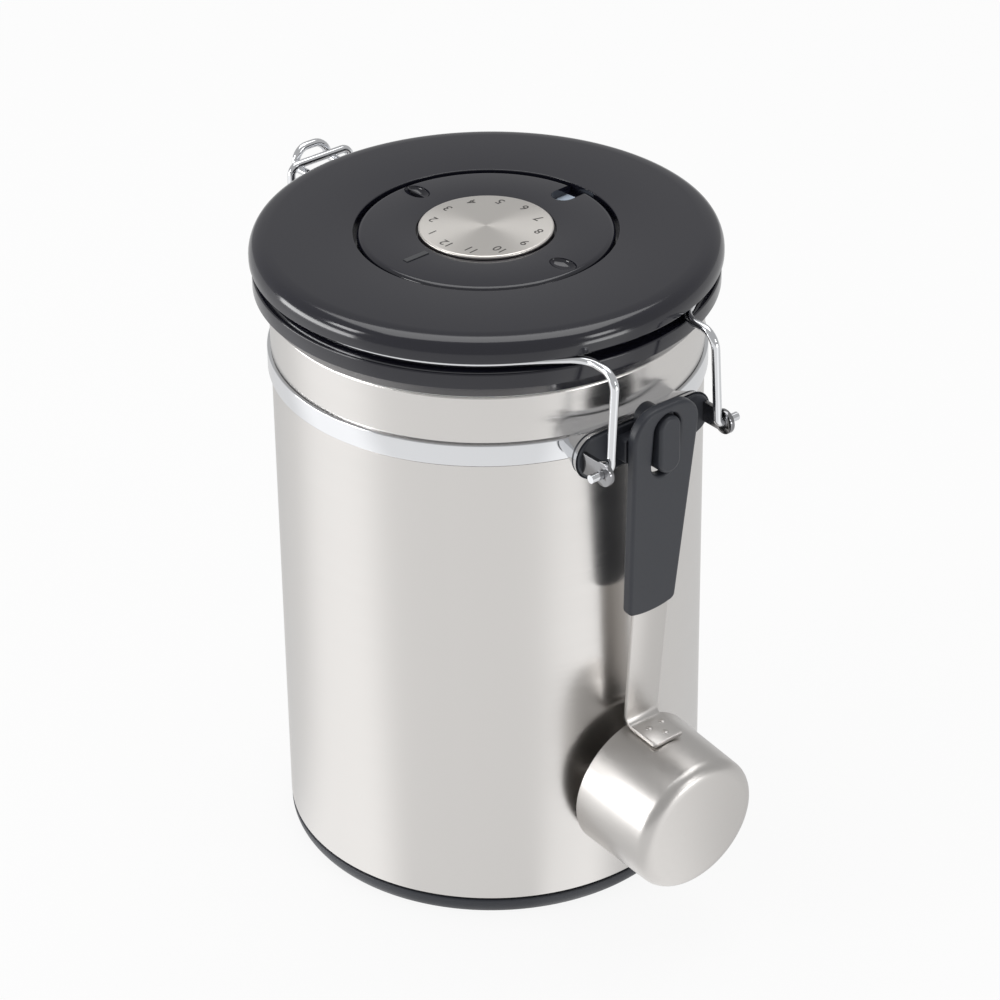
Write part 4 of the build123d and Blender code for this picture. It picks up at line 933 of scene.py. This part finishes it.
# %% [markdown]
# ## The scoop
# The scoop hangs with a slight lean, so its pieces are made upright in a frame of their own, with
# Z out from the cup's mouth to its floor and Y up along the handle, and are set in place at the
# end. The cup is turned. The strap is a bent line that is drawn out to its width and given its
# thickness, with three spot welds. The grip is a flat outline, raised, cut for the slot and
# rounded.

# %% Scoop's cup
SCOOP_LEAN = math.radians(5.1)
SCOOP_OUT, SCOOP_Z = 62.3, 39.6
scoop_place = Matrix(
    (
        (-1, 0, 0, 0),
        (0, math.sin(SCOOP_LEAN), math.cos(SCOOP_LEAN), SCOOP_OUT),
        (0, math.cos(SCOOP_LEAN), -math.sin(SCOOP_LEAN), SCOOP_Z),
        (0, 0, 0, 1),
    )
)


def finish_scoop_piece(bm, name, material, node, even_flats=False):
    """Sets an upright piece in the scoop's place and finishes it."""
    bmesh.ops.transform(bm, matrix=scoop_place, verts=bm.verts[:])
    bmesh.ops.recalc_face_normals(bm, faces=bm.faces[:])
    finish_piece(bm, name, material, "scoop", [node], even_flats)


CUP_RADIUS = 21.0
CUP_DEPTH = 28.5
cup_mesh = turned(
    [
        (0, CUP_DEPTH),
        (20.4, CUP_DEPTH, 4.0),
        (CUP_RADIUS, 0.0, 0.35),
        (20.2, 0.0, 0.35),
        (19.6, 27.7, 3.3),
        (0, 27.7),
    ],
    closed=False,
    fillet_steps=8,
)
finish_scoop_piece(cup_mesh, "cup", satin_steel, "scoop_cup")

# %% Scoop's strap
STRAP_TOP = 85.9
STRAP_BACK = 0.3
STRAP_THICKNESS = 1.2
STRAP_BEND = 3.4
FLANGE_TIP = 13.2
FLANGE_WIDTH = 10.6
BEND_WIDENS = 1.0  # the strap is this much wider where its bend ends
HANDLE_WIDENS = 1.2 / 60  # and grows by this share of its length above the bend
WELD_PLACES = ((-1.6, 6.6), (3.4, 6.2), (1.0, 10.4))
WELD_REACH = (0.95, 0.35, 0.95)
WELD_UP = 22.15


def strap_width(up):
    """How wide the strap is at this height in the scoop's own frame."""
    along_bend = min(1, max(0, up - CUP_RADIUS) / STRAP_BEND)
    above_bend = max(0, up - CUP_RADIUS - STRAP_BEND)
    return FLANGE_WIDTH + BEND_WIDENS * along_bend + HANDLE_WIDENS * above_bend


strap_mesh = wire_path(
    [
        ((0, STRAP_TOP, STRAP_BACK), 0),
        ((0, CUP_RADIUS, STRAP_BACK), STRAP_BEND),
        ((0, CUP_RADIUS, FLANGE_TIP), 0),
    ]
)
drawn = bmesh.ops.extrude_edge_only(strap_mesh, edges=strap_mesh.edges[:])
grown = [part for part in drawn["geom"] if isinstance(part, bmesh.types.BMVert)]
bmesh.ops.translate(strap_mesh, vec=(1, 0, 0), verts=grown)
bmesh.ops.translate(strap_mesh, vec=(-0.5, 0, 0), verts=strap_mesh.verts[:])
for v in strap_mesh.verts:
    v.co.x *= strap_width(v.co.y)
bmesh.ops.recalc_face_normals(strap_mesh, faces=strap_mesh.faces[:])
if sum(f.normal.z for f in strap_mesh.faces if f.calc_center_median().y > 40) > 0:
    bmesh.ops.reverse_faces(strap_mesh, faces=strap_mesh.faces[:])
bmesh.ops.solidify(strap_mesh, geom=strap_mesh.faces[:], thickness=STRAP_THICKNESS)
bmesh.ops.recalc_face_normals(strap_mesh, faces=strap_mesh.faces[:])
tip_corners = [
    e
    for e in strap_mesh.edges
    if all(abs(v.co.z - FLANGE_TIP) < 0.01 for v in e.verts)
    and abs(e.verts[0].co.x - e.verts[1].co.x) < 0.01
]
round_off(strap_mesh, tip_corners, 1.0, 3)
all_edges_rounded(strap_mesh, width=0.18, steps=2, above_deg=50)
for weld_x, weld_out in WELD_PLACES:
    weld = bmesh.ops.create_uvsphere(strap_mesh, u_segments=20, v_segments=10, radius=1)["verts"]
    bmesh.ops.scale(strap_mesh, vec=WELD_REACH, verts=weld)
    bmesh.ops.translate(strap_mesh, vec=(weld_x, WELD_UP, weld_out), verts=weld)
finish_scoop_piece(strap_mesh, "strap", satin_steel, "scoop_strap")

# %% Scoop's grip
GRIP_HALF_TOP, GRIP_HALF_LOW = 11.7, 8.2
GRIP_SHOULDER, GRIP_TOP = 125.6, 126.2
GRIP_HEEL, GRIP_LOW = 60.4, 58.6
GRIP_ROUNDINGS = (8.0, 3.5, 8.0, 1.6, 5.0, 1.6)
GRIP_THICKNESS = 3.5
GRIP_BACK = -1.3
SLOT_LENGTH, SLOT_WIDTH = 19.3, 8.8
SLOT_MIDDLE = 113.85
grip_mesh = wire_path(
    [
        ((-GRIP_HALF_TOP, GRIP_SHOULDER, 0), 0),
        ((0, GRIP_TOP, 0), 0),
        ((GRIP_HALF_TOP, GRIP_SHOULDER, 0), 0),
        ((GRIP_HALF_LOW, GRIP_HEEL, 0), 0),
        ((0, GRIP_LOW, 0), 0),
        ((-GRIP_HALF_LOW, GRIP_HEEL, 0), 0),
    ]
)
corners = grip_mesh.verts[:]
grip_mesh.edges.new((corners[-1], corners[0]))
for corner, rounding in zip(corners, GRIP_ROUNDINGS):
    round_off(grip_mesh, [corner], rounding, 16, "VERTICES")
bmesh.ops.contextual_create(grip_mesh, geom=grip_mesh.edges[:])
raise_face(grip_mesh, grip_mesh.faces[:][0], GRIP_THICKNESS)
bmesh.ops.translate(grip_mesh, vec=(0, 0, GRIP_BACK), verts=grip_mesh.verts[:])
bmesh.ops.recalc_face_normals(grip_mesh, faces=grip_mesh.faces[:])
slot_tool = bmesh.new()
slot_outline(slot_tool, SLOT_LENGTH, SLOT_WIDTH)
raise_face(slot_tool, slot_tool.faces[:][0], 8)
bmesh.ops.rotate(slot_tool, verts=slot_tool.verts[:], matrix=Matrix.Rotation(math.pi / 2, 3, "Z"))
bmesh.ops.translate(slot_tool, vec=(0, SLOT_MIDDLE, -4), verts=slot_tool.verts[:])
bmesh.ops.recalc_face_normals(slot_tool, faces=slot_tool.faces[:])
grip_mesh = cut(grip_mesh, slot_tool)
all_edges_rounded(grip_mesh, width=1.1, steps=5, above_deg=50)
finish_scoop_piece(
    grip_mesh, "grip", grip_plastic, "scoop_grip", even_flats=True
)

# %% [markdown]
# ## Finishes for the small CAD pieces
# The rivets, screws, clip, gasket and the parts of the valve keep their CAD shapes, because they
# are small or out of sight. Each one gets the finish of its real material.

# %% Finishes for CAD nodes
kept_finishes = {
    "rear_rivets": polished_steel,
    "front_rivets": polished_steel,
    "lid_screws": polished_steel,
    "dial_clip": polished_steel,
    "lid_gasket": silicone,
    "valve_flap": silicone,
    "date_disc": pale_gloss,
    "dial_hub": grip_plastic,
    "valve_body": grip_plastic,
    "valve_cap": grip_plastic,
    "valve_filter": filter_felt,
}
for node, material in kept_finishes.items():
    nodes[node].data.materials.clear()
    nodes[node].data.materials.append(material)
print("finished CAD nodes:", sorted(kept_finishes))

# %% [markdown]
# ## Studio
# The floor is plain and pale. It shines white to the camera, and a share of its own shading keeps
# the canister's shadow. The steel mirrors it too, and sees painted pools of light that change
# round the can. These are painted into the floor's glow to stand for the lit patches of a table.
# The pools are set out as angles round a point a little nearer to the camera than the can's
# middle, so that the painted bands of light in the steel run straight up and down.


# %% Floor's material
FLOOR_GREY = 0.86
GLOW_SHARE = 0.9  # the rest is the floor's own shading, which keeps the shadow
# The painted light levels that the steel mirrors, each with its angle to the right of the camera's
# side.
FLOOR_PAINTED_POOLS = (
    (-126, 0.66),
    (-98, 0.98),
    (-76, 1.0),
    (-52, 0.72),
    (24, 0.70),
    (42, 0.90),
    (60, 0.96),
    (80, 0.62),
)
FLOOR_FAR_PAINTED_LIGHT = 0.60
FLOOR_FAR_PAINTED_STOPS = (0.08, 0.96)
PAINTED_POOLS_GAIN = 1.2
PAINTED_POOLS_TOWARDS_CAMERA_M = 0.039


def pale_floor_material():
    """White to the camera. Mirrored rays see painted pools of light in it, brighter on two sides
    of the can.
    """
    material = bpy.data.materials.new("floor")
    material.use_nodes = True
    tree = material.node_tree
    shader = tree.nodes["Principled BSDF"]
    shader.inputs["Base Color"].default_value = (FLOOR_GREY, FLOOR_GREY, FLOOR_GREY, 1)
    shader.inputs["Roughness"].default_value = 0.7
    glow = tree.nodes.new("ShaderNodeEmission")
    path = tree.nodes.new("ShaderNodeLightPath")
    seen = tree.nodes.new("ShaderNodeMath")
    seen.operation = "MAXIMUM"
    tree.links.new(path.outputs["Is Camera Ray"], seen.inputs[0])
    tree.links.new(path.outputs["Is Glossy Ray"], seen.inputs[1])
    share = tree.nodes.new("ShaderNodeMath")
    share.operation = "MULTIPLY"
    share.inputs[1].default_value = GLOW_SHARE
    tree.links.new(seen.outputs[0], share.inputs[0])
    coordinates = tree.nodes.new("ShaderNodeTexCoord")
    turn = tree.nodes.new("ShaderNodeMapping")
    turn.vector_type = "TEXTURE"
    turn.inputs["Location"].default_value = level * -PAINTED_POOLS_TOWARDS_CAMERA_M
    turn.inputs["Rotation"].default_value = (0, 0, VIEW_TURN - math.radians(90))
    around = tree.nodes.new("ShaderNodeTexGradient")
    around.gradient_type = "RADIAL"
    # Painted light: this ramp paints the pools round the can into the glow that mirrored rays see.
    painted_pools = tree.nodes.new("ShaderNodeValToRGB")
    painted_pools.color_ramp.interpolation = "EASE"
    stops = painted_pools.color_ramp.elements
    for stop, position in zip(stops, FLOOR_FAR_PAINTED_STOPS):
        stop.position = position
        stop.color = (FLOOR_FAR_PAINTED_LIGHT, FLOOR_FAR_PAINTED_LIGHT, FLOOR_FAR_PAINTED_LIGHT, 1)
    for degrees_right, painted_level in FLOOR_PAINTED_POOLS:
        stop = stops.new(0.5 + degrees_right / 360)
        stop.color = (painted_level, painted_level, painted_level, 1)
    brighter_painted_pools = tree.nodes.new("ShaderNodeMath")
    brighter_painted_pools.operation = "MULTIPLY"
    brighter_painted_pools.inputs[1].default_value = PAINTED_POOLS_GAIN
    level_seen = tree.nodes.new("ShaderNodeMix")
    level_seen.inputs["B"].default_value = 1.0
    tree.links.new(coordinates.outputs["Object"], turn.inputs["Vector"])
    tree.links.new(turn.outputs["Vector"], around.inputs["Vector"])
    tree.links.new(around.outputs["Fac"], painted_pools.inputs["Fac"])
    tree.links.new(painted_pools.outputs["Color"], brighter_painted_pools.inputs[0])
    tree.links.new(path.outputs["Is Camera Ray"], level_seen.inputs["Factor"])
    tree.links.new(brighter_painted_pools.outputs[0], level_seen.inputs["A"])
    tree.links.new(level_seen.outputs["Result"], glow.inputs["Strength"])
    mix = tree.nodes.new("ShaderNodeMixShader")
    tree.links.new(share.outputs[0], mix.inputs["Fac"])
    tree.links.new(shader.outputs[0], mix.inputs[1])
    tree.links.new(glow.outputs[0], mix.inputs[2])
    tree.links.new(mix.outputs[0], tree.nodes["Material Output"].inputs["Surface"])
    return material


# %% Floor and world
FLOOR_REACH_M = 4.0
SKY_LEVEL = 0.47  # what the object sees of the world; the camera sees plain white
floor_mesh = bmesh.new()
bmesh.ops.create_grid(floor_mesh, x_segments=1, y_segments=1, size=FLOOR_REACH_M)
floor_data = bpy.data.meshes.new("floor")
floor_mesh.to_mesh(floor_data)
floor_mesh.free()
floor_data.materials.append(pale_floor_material())
floor = bpy.data.objects.new("floor", floor_data)
bpy.context.scene.collection.objects.link(floor)

world = bpy.data.worlds.new("studio")
bpy.context.scene.world = world
world.use_nodes = True
sky = world.node_tree
background = sky.nodes["Background"]
background.inputs["Color"].default_value = (1, 1, 1, 1)
sky_path = sky.nodes.new("ShaderNodeLightPath")
sky_level = sky.nodes.new("ShaderNodeMix")
sky_level.inputs["A"].default_value = SKY_LEVEL
sky_level.inputs["B"].default_value = 1.0
sky.links.new(sky_path.outputs["Is Camera Ray"], sky_level.inputs["Factor"])
sky.links.new(sky_level.outputs["Result"], background.inputs["Strength"])

# %% [markdown]
# ## Lamps
# A large soft lamp hangs above. The two wide ones at the sides stand no higher than the lid, so
# that they don't whiten its flat top, and two small ones above them put the bright spots on its
# rounded edge and on the wires.


# %% Lamps
LAMPS_AIM_Z_M = 0.1


def soft_lamp(name, degrees_right, distance, height, size, watts):
    """A soft box round the can: the angle is counted from the camera's side to the right."""
    turn = math.radians(degrees_right)
    where = (across * math.sin(turn) - level * math.cos(turn)) * distance + Vector((0, 0, height))
    data = bpy.data.lights.new(name, "AREA")
    data.shape = "RECTANGLE"
    data.size, data.size_y = size
    data.energy = watts
    lamp = bpy.data.objects.new(name, data)
    lamp.location = where
    aim = Vector((0, 0, LAMPS_AIM_Z_M)) - where
    lamp.rotation_euler = aim.to_track_quat("-Z", "Y").to_euler()
    bpy.context.scene.collection.objects.link(lamp)
    print(name, "at", [round(x, 2) for x in where], watts, "W")


soft_lamp("lamp_left", -84, 1.2, 0.16, (1.0, 0.24), 5)
soft_lamp("lamp_right", 54, 1.3, 0.16, (0.5, 0.24), 1.6)
soft_lamp("edge_left", -70, 1.2, 0.70, (0.34, 0.30), 2.2)
soft_lamp("edge_right", 54, 1.3, 0.70, (0.30, 0.30), 1.3)
soft_lamp("lamp_top", 180, 0.35, 1.5, (1.4, 1.0), 9)
